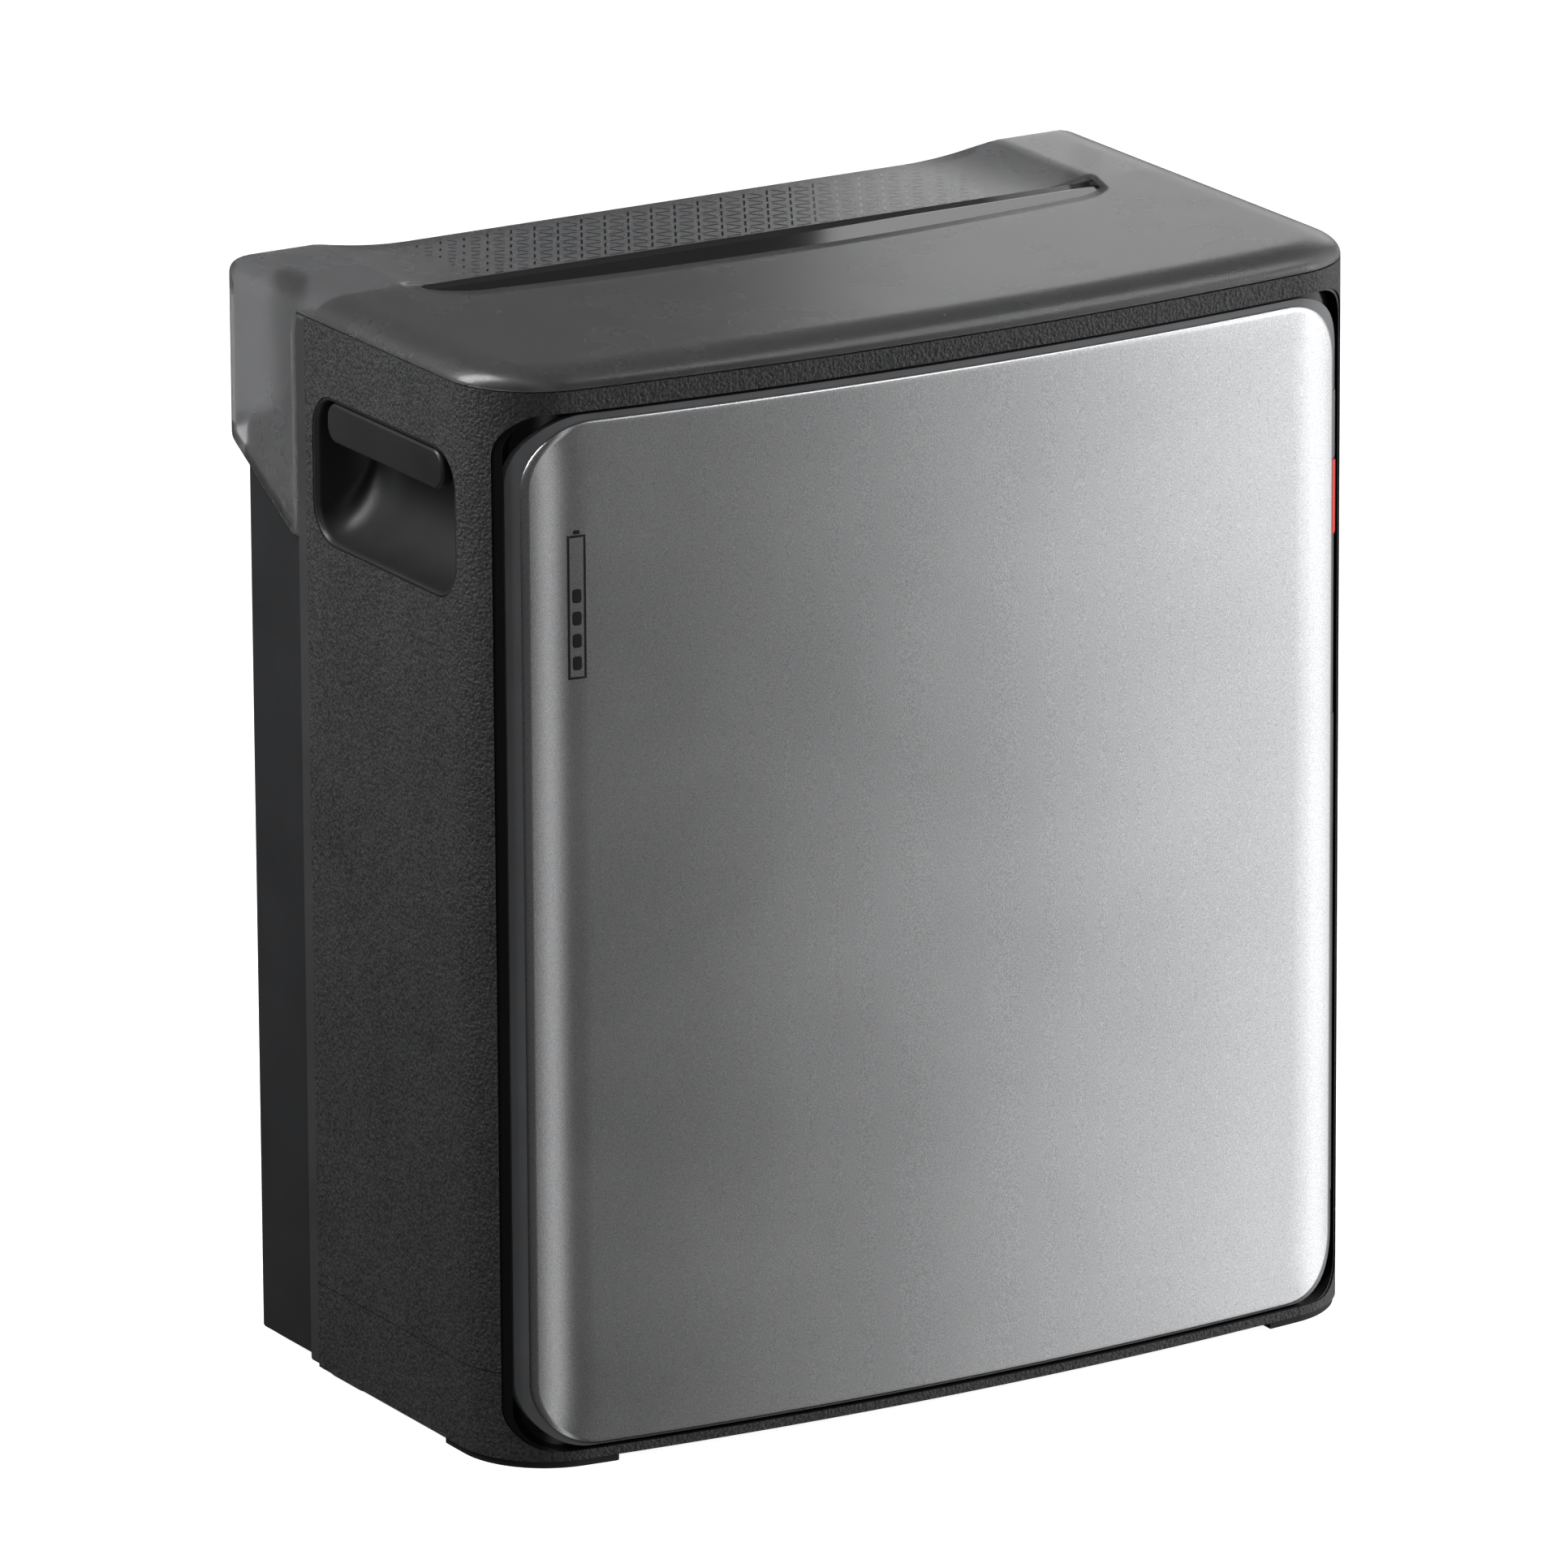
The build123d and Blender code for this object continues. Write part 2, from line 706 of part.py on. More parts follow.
# ---- top deck: opaque inner lid under the cover ----
deck_inset = cover_wall + deck_clearance
deck_top_z = top_z - cover_wall - deck_clearance
deck_bottom_z = seam_z - 14.0
with BuildPart() as top_deck:
    with BuildSketch(Plane.XY.offset(seam_z)):
        add(plan_outline(deck_inset, deck_back_y))
    extrude(amount=deck_top_z - seam_z)
    top_edges = top_deck.faces().sort_by(Axis.Z)[-1].edges()
    fillet(top_edges.sort_by(Axis.Y)[:-1], cover_edge_radius - deck_inset)
    with BuildSketch(Plane.XY.offset(seam_z)):
        add(plan_outline(shell_wall + 0.5, deck_back_y))
    extrude(amount=deck_bottom_z - seam_z)
    with BuildSketch(Plane.XY.offset(deck_bottom_z)):
        add(plan_outline(cover_edge_radius + 2.0, deck_back_y - 3.0))
    extrude(amount=deck_top_z - 3.0 - deck_bottom_z, mode=Mode.SUBTRACT)
save(top_deck.part, "top_deck")


# ---- top cover: one translucent moulding over the deck and the wiring space ----
def recess_line(floor, rise):
    """The vent recess in front view: a flat floor with an arc at each end that climbs by rise.

    Returns the point where the right-hand arc ends.
    """
    run = recess_half_width - recess_flat_half
    sweep = (run ** 2 + recess_drop ** 2) / (2 * recess_drop)
    half_run = sqrt(2 * sweep * rise - rise ** 2)
    end_x = recess_flat_half + half_run
    middle_x = recess_flat_half + half_run / 2
    middle_z = floor + sweep - sqrt(sweep ** 2 - (half_run / 2) ** 2)
    ThreePointArc((-end_x, floor + rise), (-middle_x, middle_z), (-recess_flat_half, floor))
    Line((-recess_flat_half, floor), (recess_flat_half, floor))
    ThreePointArc((recess_flat_half, floor), (middle_x, middle_z), (end_x, floor + rise))
    return end_x, floor + rise


with BuildPart() as cover_core:
    with BuildSketch(Plane.XY.offset(skirt_low - 10)):
        add(plan_outline(cover_wall, cover_back_y - cover_wall, cover_back_radius - cover_wall))
    extrude(amount=top_z - cover_wall - skirt_low + 10)
    fillet(cover_core.faces().sort_by(Axis.Z)[-1].edges(), cover_edge_radius - cover_wall)

with BuildPart() as top_cover:
    with BuildSketch(Plane.XY.offset(skirt_low - 5)):
        add(plan_outline(0, cover_back_y, cover_back_radius))
    extrude(amount=top_z - skirt_low + 5)
    fillet(top_cover.faces().sort_by(Axis.Z)[-1].edges(), cover_edge_radius)
    add(cover_core.part, mode=Mode.SUBTRACT)
    # lid height in front of the mid frame, slanting skirt behind it
    with BuildSketch(Plane.YZ):
        with BuildLine():
            Polyline(
                (front_y - 2, skirt_low - 20),
                (front_y - 2, seam_z),
                (frame_back_y + fit_gap, seam_z),
                (frame_back_y + fit_gap, skirt_low),
                (frame_back_y + 9, skirt_low),
                (cover_back_y - 8, skirt_high - 2),
                (cover_back_y + 2, skirt_high),
                (cover_back_y + 2, skirt_low - 20),
                close=True,
            )
        make_face()
    extrude(amount=half_width + 2, both=True, mode=Mode.SUBTRACT)
    # solid under the vent recess, later hollowed from above to leave its floor
    with BuildSketch(Plane.XZ.offset(-deck_back_y)):
        with BuildLine():
            end_x, end_z = recess_line(recess_floor_z - cover_wall + 0.2, recess_drop)
            Polyline((end_x, end_z), (end_x, top_z - 1.0), (-end_x, top_z - 1.0), (-end_x, end_z))
        make_face()
    extrude(amount=-(cover_back_y - deck_back_y - 1.0))
    # bare strip of deck in front of the vent recess
    with BuildSketch(Plane.XY.offset(seam_z)):
        with BuildLine():
            strip_front = deck_back_y - deck_strip_depth
            strip_shoulder = strip_front + deck_strip_bow
            strip_half = recess_half_width - 1.5
            ThreePointArc((-strip_half, strip_shoulder), (0, strip_front), (strip_half, strip_shoulder))
            Polyline(
                (strip_half, strip_shoulder),
                (strip_half, deck_back_y + fit_gap),
                (-strip_half, deck_back_y + fit_gap),
                (-strip_half, strip_shoulder),
            )
        make_face()
        fillet(vertices().group_by(Axis.Y)[1], deck_strip_radius)
    extrude(amount=cover_rise + 1, mode=Mode.SUBTRACT)
    # room above the recess floor
    with BuildSketch(Plane.XZ.offset(-deck_back_y)):
        with BuildLine():
            end_x, end_z = recess_line(recess_floor_z, recess_drop + 1.0)
            Polyline((end_x, end_z), (end_x, top_z + 5), (-end_x, top_z + 5), (-end_x, end_z))
        make_face()
    extrude(amount=-(cover_back_y - deck_back_y + 2), mode=Mode.SUBTRACT)
save(top_cover.part, "top_cover")

# ---- wiring shelf: glands, connectors, vent and cover guides ----
with BuildPart() as cable_glands:
    with Locations((0, shelf_y, casing_shelf)):
        with GridLocations(gland_pitch, 0, gland_count, 1):
            Cylinder(
                gland_bore_radius - thread_gap,
                casing_wall + 6,
                align=(Align.CENTER, Align.CENTER, Align.MAX),
            )
    with BuildSketch(Plane.XY.offset(casing_shelf)):
        with Locations((0, shelf_y)):
            with GridLocations(gland_pitch, 0, gland_count, 1):
                RegularPolygon(gland_hex_radius, 6)
    extrude(amount=gland_height * 0.4)
    with Locations((0, shelf_y, casing_shelf + gland_height * 0.4)):
        with GridLocations(gland_pitch, 0, gland_count, 1):
            Cone(
                gland_hex_radius * 0.85,
                gland_hex_radius * 0.6,
                gland_height * 0.6,
                align=(Align.CENTER, Align.CENTER, Align.MIN),
            )
    # each gland is blind until a cable is fitted
    with Locations((0, shelf_y, casing_shelf + gland_height)):
        with GridLocations(gland_pitch, 0, gland_count, 1):
            Cylinder(
                gland_cable_radius,
                gland_cable_depth,
                align=(Align.CENTER, Align.CENTER, Align.MAX),
                mode=Mode.SUBTRACT,
            )
save(cable_glands.part, "cable_glands")

with BuildPart() as pressure_vent:
    with Locations((vent_x, shelf_y, casing_shelf)):
        Cylinder(
            gland_bore_radius - thread_gap, casing_wall + 3, align=(Align.CENTER, Align.CENTER, Align.MAX)
        )
        Cylinder(gland_hex_radius, 7, align=(Align.CENTER, Align.CENTER, Align.MIN))
    chamfer(pressure_vent.edges().group_by(Axis.Z)[-1], 1.5)
save(pressure_vent.part, "pressure_vent")

with BuildPart() as dc_connectors:
    with BuildSketch(Plane.XY.offset(casing_shelf)):
        with Locations((connector_x, shelf_y)):
            with GridLocations(connector_width + connector_gap, 0, 2, 1):
                RectangleRounded(connector_width, shelf_part_depth, 4)
    extrude(amount=connector_height)
    fillet(dc_connectors.edges().group_by(Axis.Z)[-1], 2)
    with BuildSketch(Plane.XY.offset(casing_shelf + connector_height)):
        with Locations((connector_x, shelf_y)):
            with GridLocations(connector_width + connector_gap, 0, 2, 1):
                Circle(connector_bore_radius)
                Circle(connector_pin_radius, mode=Mode.SUBTRACT)
    extrude(amount=-connector_bore_depth, mode=Mode.SUBTRACT)
save(dc_connectors.part, "dc_connectors")

with BuildPart() as comm_block:
    with BuildSketch(Plane.XY.offset(casing_shelf)):
        with Locations((comm_block_x, shelf_y)):
            RectangleRounded(comm_block_width, shelf_part_depth, 2)
    extrude(amount=comm_block_height)
    # three data sockets in its top
    with BuildSketch(Plane.XY.offset(casing_shelf + comm_block_height)):
        with Locations((comm_block_x, shelf_y)):
            with GridLocations(comm_socket_pitch, 0, 3, 1):
                Rectangle(comm_socket_width, comm_socket_width + 1.4)
    extrude(amount=-comm_block_height / 2, mode=Mode.SUBTRACT)
save(comm_block.part, "comm_block")

with BuildPart() as earth_stud:
    with Locations((earth_stud_x, shelf_y, casing_shelf)):
        Cylinder(8, 3, align=(Align.CENTER, Align.CENTER, Align.MIN))
        Cylinder(earth_stud_radius, 20, align=(Align.CENTER, Align.CENTER, Align.MIN))
    with BuildSketch(Plane.XY.offset(casing_shelf + 4)):
        with Locations((earth_stud_x, shelf_y)):
            RegularPolygon(2 * earth_stud_radius, 6)
    extrude(amount=5)
save(earth_stud.part, "earth_stud")

guide_top_z = top_z - cover_wall - 4
with BuildPart() as cover_guides:
    with BuildSketch(Plane.XY.offset(casing_shelf)):
        with Locations((0, shelf_y)):
            with GridLocations(2 * guide_x - guide_thickness, 0, 2, 1):
                RectangleRounded(guide_thickness, guide_width, 4)
                RectangleRounded(
                    guide_thickness - 2 * guide_wall,
                    guide_width - 2 * guide_wall,
                    4 - guide_wall,
                    mode=Mode.SUBTRACT,
                )
    extrude(amount=guide_top_z - casing_shelf)
save(cover_guides.part, "cover_guides")

# ---- wall bracket, its rail on the casing and the lower bumpers ----
with BuildPart() as wall_bracket:
    with BuildSketch(Plane.XZ.offset(-wall_y)):
        with Locations((0, bracket_middle_z)):
            RectangleRounded(bracket_width, bracket_height, 8)
            with GridLocations(bracket_hole_span, bracket_hole_rise, 2, 2):
                Circle(bracket_hole_radius, mode=Mode.SUBTRACT)
    extrude(amount=bracket_thickness)
    # hook along the middle: out from the plate and up
    with BuildSketch(Plane.YZ):
        with BuildLine():
            Polyline(
                (hook_root_y, bracket_middle_z),
                (hook_tip_y, bracket_middle_z),
                (hook_tip_y, bracket_middle_z + hook_rise),
                (hook_tip_y + bracket_thickness, bracket_middle_z + hook_rise),
                (hook_tip_y + bracket_thickness, bracket_middle_z + bracket_thickness),
                (hook_root_y, bracket_middle_z + bracket_thickness),
                close=True,
            )
        make_face()
    extrude(amount=hook_half, both=True)
save(wall_bracket.part, "wall_bracket")

with BuildPart() as hanger_rail:
    rail_base_z = bracket_middle_z + rail_drop
    with BuildSketch(Plane.YZ):
        with BuildLine():
            Polyline(
                (casing_back_y, rail_base_z),
                (casing_back_y, rail_base_z + rail_plate_height),
                (casing_back_y + bracket_thickness, rail_base_z + rail_plate_height),
                (casing_back_y + bracket_thickness, rail_base_z + bracket_thickness),
                (rail_back_y, rail_base_z + bracket_thickness),
                (rail_back_y, bracket_middle_z + bracket_thickness),
                (rail_back_y - bracket_thickness, bracket_middle_z + bracket_thickness),
                (rail_back_y - bracket_thickness, rail_base_z),
                close=True,
            )
        make_face()
    extrude(amount=rail_half, both=True)
    with BuildSketch(Plane.XZ.offset(-casing_back_y)):
        with Locations((0, rail_screw_z)):
            with GridLocations(rail_screw_pitch, 0, rail_screw_count, 1):
                Circle(rail_screw_radius + thread_gap)
    extrude(amount=-bracket_thickness, mode=Mode.SUBTRACT)
save(hanger_rail.part, "hanger_rail")

with BuildPart() as rail_screws:
    with BuildSketch(Plane.XZ.offset(-casing_back_y - bracket_thickness)):
        with Locations((0, rail_screw_z)):
            with GridLocations(rail_screw_pitch, 0, rail_screw_count, 1):
                Circle(rail_screw_head_radius)
    extrude(amount=-2.4)
    with BuildSketch(Plane.XZ.offset(-casing_back_y - bracket_thickness)):
        with Locations((0, rail_screw_z)):
            with GridLocations(rail_screw_pitch, 0, rail_screw_count, 1):
                Circle(rail_screw_radius)
    extrude(amount=bracket_thickness + casing_wall)
save(rail_screws.part, "rail_screws")

with BuildPart() as rear_bumpers:
    with BuildSketch(Plane.XZ.offset(-casing_back_y)):
        with Locations((0, (bumper_low + bumper_high) / 2)):
            with GridLocations(2 * casing_half - 2 * casing_back_radius - bumper_width - 2, 0, 2, 1):
                RectangleRounded(bumper_width, bumper_high - bumper_low, 6)
    extrude(amount=-bumper_proud)
save(rear_bumpers.part, "rear_bumpers")

# ---- battery: two rows of prismatic cells between end plates ----
cell_middle_y = seam_y - cell_back_gap - cell_width / 2
tray_low_z = base_z + shell_wall + skid_height
row_low_z = (tray_low_z + tray_height, tray_low_z + tray_height + row_pitch)
row_half = cell_pitch * cells_per_row / 2
for row, row_name in ((0, "lower"), (1, "upper")):
    for index in range(cells_per_row):
        cell_x = -row_half + cell_pitch * (index + 0.5)
        with BuildPart() as cell:
            with BuildSketch(Plane.XY.offset(row_low_z[row])):
                with Locations((cell_x, cell_middle_y)):
                    RectangleRounded(cell_thickness, cell_width, cell_corner_radius)
            extrude(amount=cell_height)
            with Locations((cell_x, cell_middle_y, row_low_z[row] + cell_height)):
                with GridLocations(0, terminal_spread, 1, 2):
                    Cylinder(
                        terminal_radius, terminal_height, align=(Align.CENTER, Align.CENTER, Align.MIN)
                    )
        save(cell.part, f"cell_{row_name}_{index + 1}")

    with BuildPart() as tray:
        with BuildSketch(Plane.XY.offset(row_low_z[row] - tray_height)):
            with Locations((0, cell_middle_y)):
                RectangleRounded(
                    2 * row_half + 2 * end_plate_thickness, cell_width + 2 * tray_overhang, 4
                )
        extrude(amount=tray_height)
        if row == 0:
            with Locations((0, cell_middle_y, base_z + shell_wall)):
                with GridLocations(0, cell_width - skid_width, 1, 2):
                    Box(
                        2 * row_half,
                        skid_width,
                        skid_height,
                        align=(Align.CENTER, Align.CENTER, Align.MIN),
                    )
    save(tray.part, f"cell_tray_{row_name}")

# copper links join neighbouring cells, front and back in turn
with BuildPart() as busbars:
    for row in (0, 1):
        for index in range(cells_per_row - 1):
            link_x = -row_half + cell_pitch * (index + 1)
            link_y = cell_middle_y + terminal_spread / 2 * (1 if index % 2 == 0 else -1)
            with Locations((link_x, link_y, row_low_z[row] + cell_height + terminal_height)):
                Box(
                    cell_pitch + 2 * busbar_overlap,
                    busbar_width,
                    busbar_thickness,
                    align=(Align.CENTER, Align.CENTER, Align.MIN),
                )
save(busbars.part, "busbars")

upper_top_z = row_low_z[1] + cell_height
lid_low_z = upper_top_z + lid_rise
lid_top_z = lid_low_z + lid_thickness
with BuildPart() as end_plates:
    for side in (-1, 1):
        for low, high in ((row_low_z[0], row_low_z[1] - tray_height), (row_low_z[1], lid_low_z)):
            with Locations((side * (row_half + end_plate_thickness / 2), cell_middle_y, low)):
                Box(
                    end_plate_thickness,
                    cell_width,
                    high - low,
                    align=(Align.CENTER, Align.CENTER, Align.MIN),
                )
        skin_x = side * (row_half + end_plate_thickness + end_skin_thickness / 2)
        with Locations((skin_x, cell_middle_y, row_low_z[0])):
            Box(
                end_skin_thickness,
                cell_width,
                lid_low_z - row_low_z[0],
                align=(Align.CENTER, Align.CENTER, Align.MIN),
            )
save(end_plates.part, "end_plates")

# ---- battery electronics on the lid above the cells ----
with BuildPart() as module_lid:
    with BuildSketch(Plane.XY.offset(lid_low_z)):
        with Locations((0, cell_middle_y)):
            RectangleRounded(
                2 * row_half + 2 * end_plate_thickness, cell_width + 2 * tray_overhang, 4
            )
    extrude(amount=lid_thickness)
    with Locations((bms_x, cell_middle_y, lid_top_z)):
        with GridLocations(bms_width - 16, bms_depth - 16, 2, 2):
            Cylinder(standoff_radius, standoff_height, align=(Align.CENTER, Align.CENTER, Align.MIN))
save(module_lid.part, "module_lid")

with BuildPart() as bms_board:
    with BuildSketch(Plane.XY.offset(lid_top_z + standoff_height)):
        with Locations((bms_x, cell_middle_y)):
            RectangleRounded(bms_width, bms_depth, 3)
    extrude(amount=board_thickness)
    with Locations((bms_x, cell_middle_y, lid_top_z + standoff_height + board_thickness)):
        with GridLocations(bms_width / 7, bms_depth / 5, 6, 4):
            Box(14, 10, 3, align=(Align.CENTER, Align.CENTER, Align.MIN))
save(bms_board.part, "bms_board")

with BuildPart() as main_fuse:
    with Locations((fuse_x, cell_middle_y, lid_top_z)):
        Box(fuse_base_length, 30, 6, align=(Align.CENTER, Align.CENTER, Align.MIN))
    with BuildSketch(Plane.YZ.offset(fuse_x)):
        with Locations((cell_middle_y, lid_top_z + fuse_radius + 4)):
            Circle(fuse_radius)
    extrude(amount=fuse_length / 2, both=True)
save(main_fuse.part, "main_fuse")

with BuildPart() as contactors:
    with BuildSketch(Plane.XY.offset(lid_top_z)):
        with Locations((contactor_x + contactor_pitch / 2, cell_middle_y)):
            with GridLocations(contactor_pitch, 0, 2, 1):
                RectangleRounded(contactor_width, contactor_depth, 6)
    extrude(amount=contactor_height)
    with Locations((contactor_x + contactor_pitch / 2, cell_middle_y, lid_top_z + contactor_height)):
        with GridLocations(contactor_pitch, 0, 2, 1):
            with GridLocations(contactor_width / 2, 0, 2, 1):
                Cylinder(5, 10, align=(Align.CENTER, Align.CENTER, Align.MIN))
save(contactors.part, "contactors")

# risers bring the lower row's free front terminals up over the lid
riser_back_y = cell_middle_y - cell_width / 2 - tray_overhang - riser_clear
riser_low_z = row_low_z[0] + cell_height + terminal_height
riser_terminal_y = cell_middle_y - terminal_spread / 2 + terminal_radius
with BuildPart() as riser_busbars:
    for side in (-1, 1):
        with BuildSketch(Plane.YZ.offset(side * (row_half - cell_pitch / 2))):
            with BuildLine():
                Polyline(
                    (riser_terminal_y, riser_low_z),
                    (riser_back_y - busbar_thickness, riser_low_z),
                    (riser_back_y - busbar_thickness, lid_top_z + busbar_thickness),
                    (riser_back_y + 3 * riser_width, lid_top_z + busbar_thickness),
                    (riser_back_y + 3 * riser_width, lid_top_z),
                    (riser_back_y, lid_top_z),
                    (riser_back_y, riser_low_z + busbar_thickness),
                    (riser_terminal_y, riser_low_z + busbar_thickness),
                    close=True,
                )
            make_face()
        extrude(amount=riser_width / 2, both=True)
save(riser_busbars.part, "riser_busbars")

# ---- power conversion inside the rear casing ----
power_board_y = casing_back_y - casing_wall - boss_height - board_thickness
with BuildPart() as power_board:
    with BuildSketch(Plane.XZ.offset(-power_board_y)):
        with Locations((0, power_board_z)):
            RectangleRounded(power_board_width, power_board_height, 5)
    extrude(amount=-board_thickness)
save(power_board.part, "power_board")

with BuildPart() as capacitor_bank:
    with BuildSketch(Plane.XZ.offset(-power_board_y)):
        with Locations((-power_board_width / 4, power_board_z + power_board_height / 5)):
            with GridLocations(capacitor_pitch, capacitor_pitch, 5, 3):
                Circle(capacitor_radius)
    extrude(amount=capacitor_height)
save(capacitor_bank.part, "capacitor_bank")

with BuildPart() as inductors:
    with BuildSketch(Plane.XZ.offset(-power_board_y)):
        with Locations((power_board_width / 5, power_board_z + power_board_height / 8)):
            with GridLocations(2.7 * inductor_radius, 3 * inductor_radius, 2, 2):
                Circle(inductor_radius)
                Circle(inductor_bore, mode=Mode.SUBTRACT)
    extrude(amount=inductor_height)
save(inductors.part, "inductors")
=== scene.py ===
import json
import bpy
import numpy as np
from mathutils import Matrix, Quaternion, Vector


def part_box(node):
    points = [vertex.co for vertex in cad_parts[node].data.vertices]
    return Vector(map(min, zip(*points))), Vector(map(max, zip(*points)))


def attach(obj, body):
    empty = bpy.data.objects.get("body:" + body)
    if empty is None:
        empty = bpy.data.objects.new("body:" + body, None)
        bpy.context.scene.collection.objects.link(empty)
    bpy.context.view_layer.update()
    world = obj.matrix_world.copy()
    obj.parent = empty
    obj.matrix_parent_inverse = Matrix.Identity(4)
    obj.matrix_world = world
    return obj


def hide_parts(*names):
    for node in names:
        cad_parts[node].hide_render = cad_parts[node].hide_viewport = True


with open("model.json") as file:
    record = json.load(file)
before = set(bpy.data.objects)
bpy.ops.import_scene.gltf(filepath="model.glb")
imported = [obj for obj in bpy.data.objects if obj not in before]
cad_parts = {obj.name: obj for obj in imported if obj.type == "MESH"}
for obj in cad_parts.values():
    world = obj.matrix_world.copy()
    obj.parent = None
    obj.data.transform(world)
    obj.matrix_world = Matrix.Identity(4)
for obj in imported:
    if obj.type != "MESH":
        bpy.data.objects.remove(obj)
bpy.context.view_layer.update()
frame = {"nodes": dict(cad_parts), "record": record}
print("frame loaded:", len(frame["nodes"]), "nodes")

mm = 0.001
quarter = np.pi / 2

# sizes read from the frame
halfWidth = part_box("main_housing")[1].x
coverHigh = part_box("top_cover")[1]
panelLow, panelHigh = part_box("front_panel")
gripLow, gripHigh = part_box("handle_grip_left")

# the plan of the front: one wide arc across the unit and a corner arc at each side
shape = {"bowRadius": 2230 * mm, "cornerRadius": 61.5 * mm, "panelInset": 0.4 * mm}
frontY = panelLow.y - shape["panelInset"]       # foremost point of the bow
# centre of each corner arc, which touches both the side and the bow
cornerX = halfWidth - shape["cornerRadius"]
arcReach = shape["bowRadius"] - shape["cornerRadius"]
cornerY = frontY + shape["bowRadius"] - np.sqrt(arcReach ** 2 - cornerX ** 2)


def newPiece(name, points, faces, material, smooth=True):
    # an object at the origin, its mesh made from an array of points and a list of faces
    mesh = bpy.data.meshes.new(name)
    mesh.from_pydata(points.tolist(), [], faces)
    mesh.validate()
    mesh.polygons.foreach_set("use_smooth", np.full(len(mesh.polygons), smooth))
    mesh.materials.append(material)
    mesh.update()
    piece = bpy.data.objects.new(name, mesh)
    bpy.context.scene.collection.objects.link(piece)
    return piece


def gridFaces(rows, cols, wrap):
    # quads between neighbouring rows of points, point number = row * cols + column;
    # wrap joins the last column to the first
    spans = cols if wrap else cols - 1
    row, col = np.meshgrid(np.arange(rows - 1), np.arange(spans), indexing="ij")
    right = (col + 1) % cols
    corners = [row * cols + col, row * cols + right, (row + 1) * cols + right, (row + 1) * cols + col]
    return np.stack(corners, -1).reshape(-1, 4)


def ringShell(rings):
    # stacked closed rings, each end closed by triangles to a pole at the mean of its ring
    rows, cols = rings.shape[:2]
    points = np.vstack([rings.reshape(-1, 3), rings[0].mean(0), rings[-1].mean(0)])
    here = np.arange(cols)
    right = (here + 1) % cols
    pole = np.full(cols, rows * cols)
    lastRing = (rows - 1) * cols
    startCap = np.stack([pole, right, here], -1)
    endCap = np.stack([pole + 1, lastRing + here, lastRing + right], -1)
    return points, gridFaces(rows, cols, True), np.vstack([startCap, endCap])


def addRings(name, rings, material, body):
    # closed shell of rings; its faces are turned round if the sum of a . (b x c) over its triangles,
    # six times the volume inside, comes out negative
    points, quads, caps = ringShell(rings)
    triangles = np.vstack([quads[:, [0, 1, 2]], quads[:, [0, 2, 3]], caps])
    a, b, c = (points[triangles[:, k]] for k in range(3))
    if (a * np.cross(b, c)).sum() < 0:
        quads, caps = quads[:, ::-1], caps[:, ::-1]
    piece = newPiece(name, points, quads.tolist() + caps.tolist(), material)
    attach(piece, body)
    return piece


def roundedOutline(halfA, halfB, radius, steps, along):
    # rectangle about the origin: four quarter circles (radius * cos, radius * sin) about the
    # corner centres, joined by evenly spaced straight runs
    radius = min(radius, halfA * 0.999, halfB * 0.999)      # keeps each corner inside its quarter
    turn = np.linspace(0, quarter, steps)
    corners = []
    for k, (signA, signB) in enumerate(((1, 1), (-1, 1), (-1, -1), (1, -1))):
        angle = turn + k * quarter
        corners.append(np.stack([signA * (halfA - radius) + radius * np.cos(angle),
                                 signB * (halfB - radius) + radius * np.sin(angle)], -1))
    mix = np.linspace(0, 1, along + 2)[1:-1, None]
    outline = []
    for k in range(4):
        start, end = corners[k][-1], corners[(k + 1) % 4][0]
        outline += [corners[k], start + (end - start) * mix]
    return np.vstack(outline)


def frontSkin(x, inset):
    # y of the front at x, inset behind it: centre minus sqrt(radius^2 - x^2) on the bow, and the
    # same about the corner's centre beyond the point where the two arcs meet
    bow = shape["bowRadius"] - inset
    corner = shape["cornerRadius"] - inset
    meet = cornerX * shape["bowRadius"] / arcReach
    wide = np.abs(x)
    onBow = frontY + shape["bowRadius"] - np.sqrt(np.maximum(bow ** 2 - wide ** 2, 0))
    onCorner = cornerY - np.sqrt(np.maximum(corner ** 2 - np.maximum(wide - cornerX, 0) ** 2, 0))
    return np.where(wide < meet, onBow, onCorner)


noiseSpan = (0.3, 0.7)      # nearly all of a noise's values lie between these


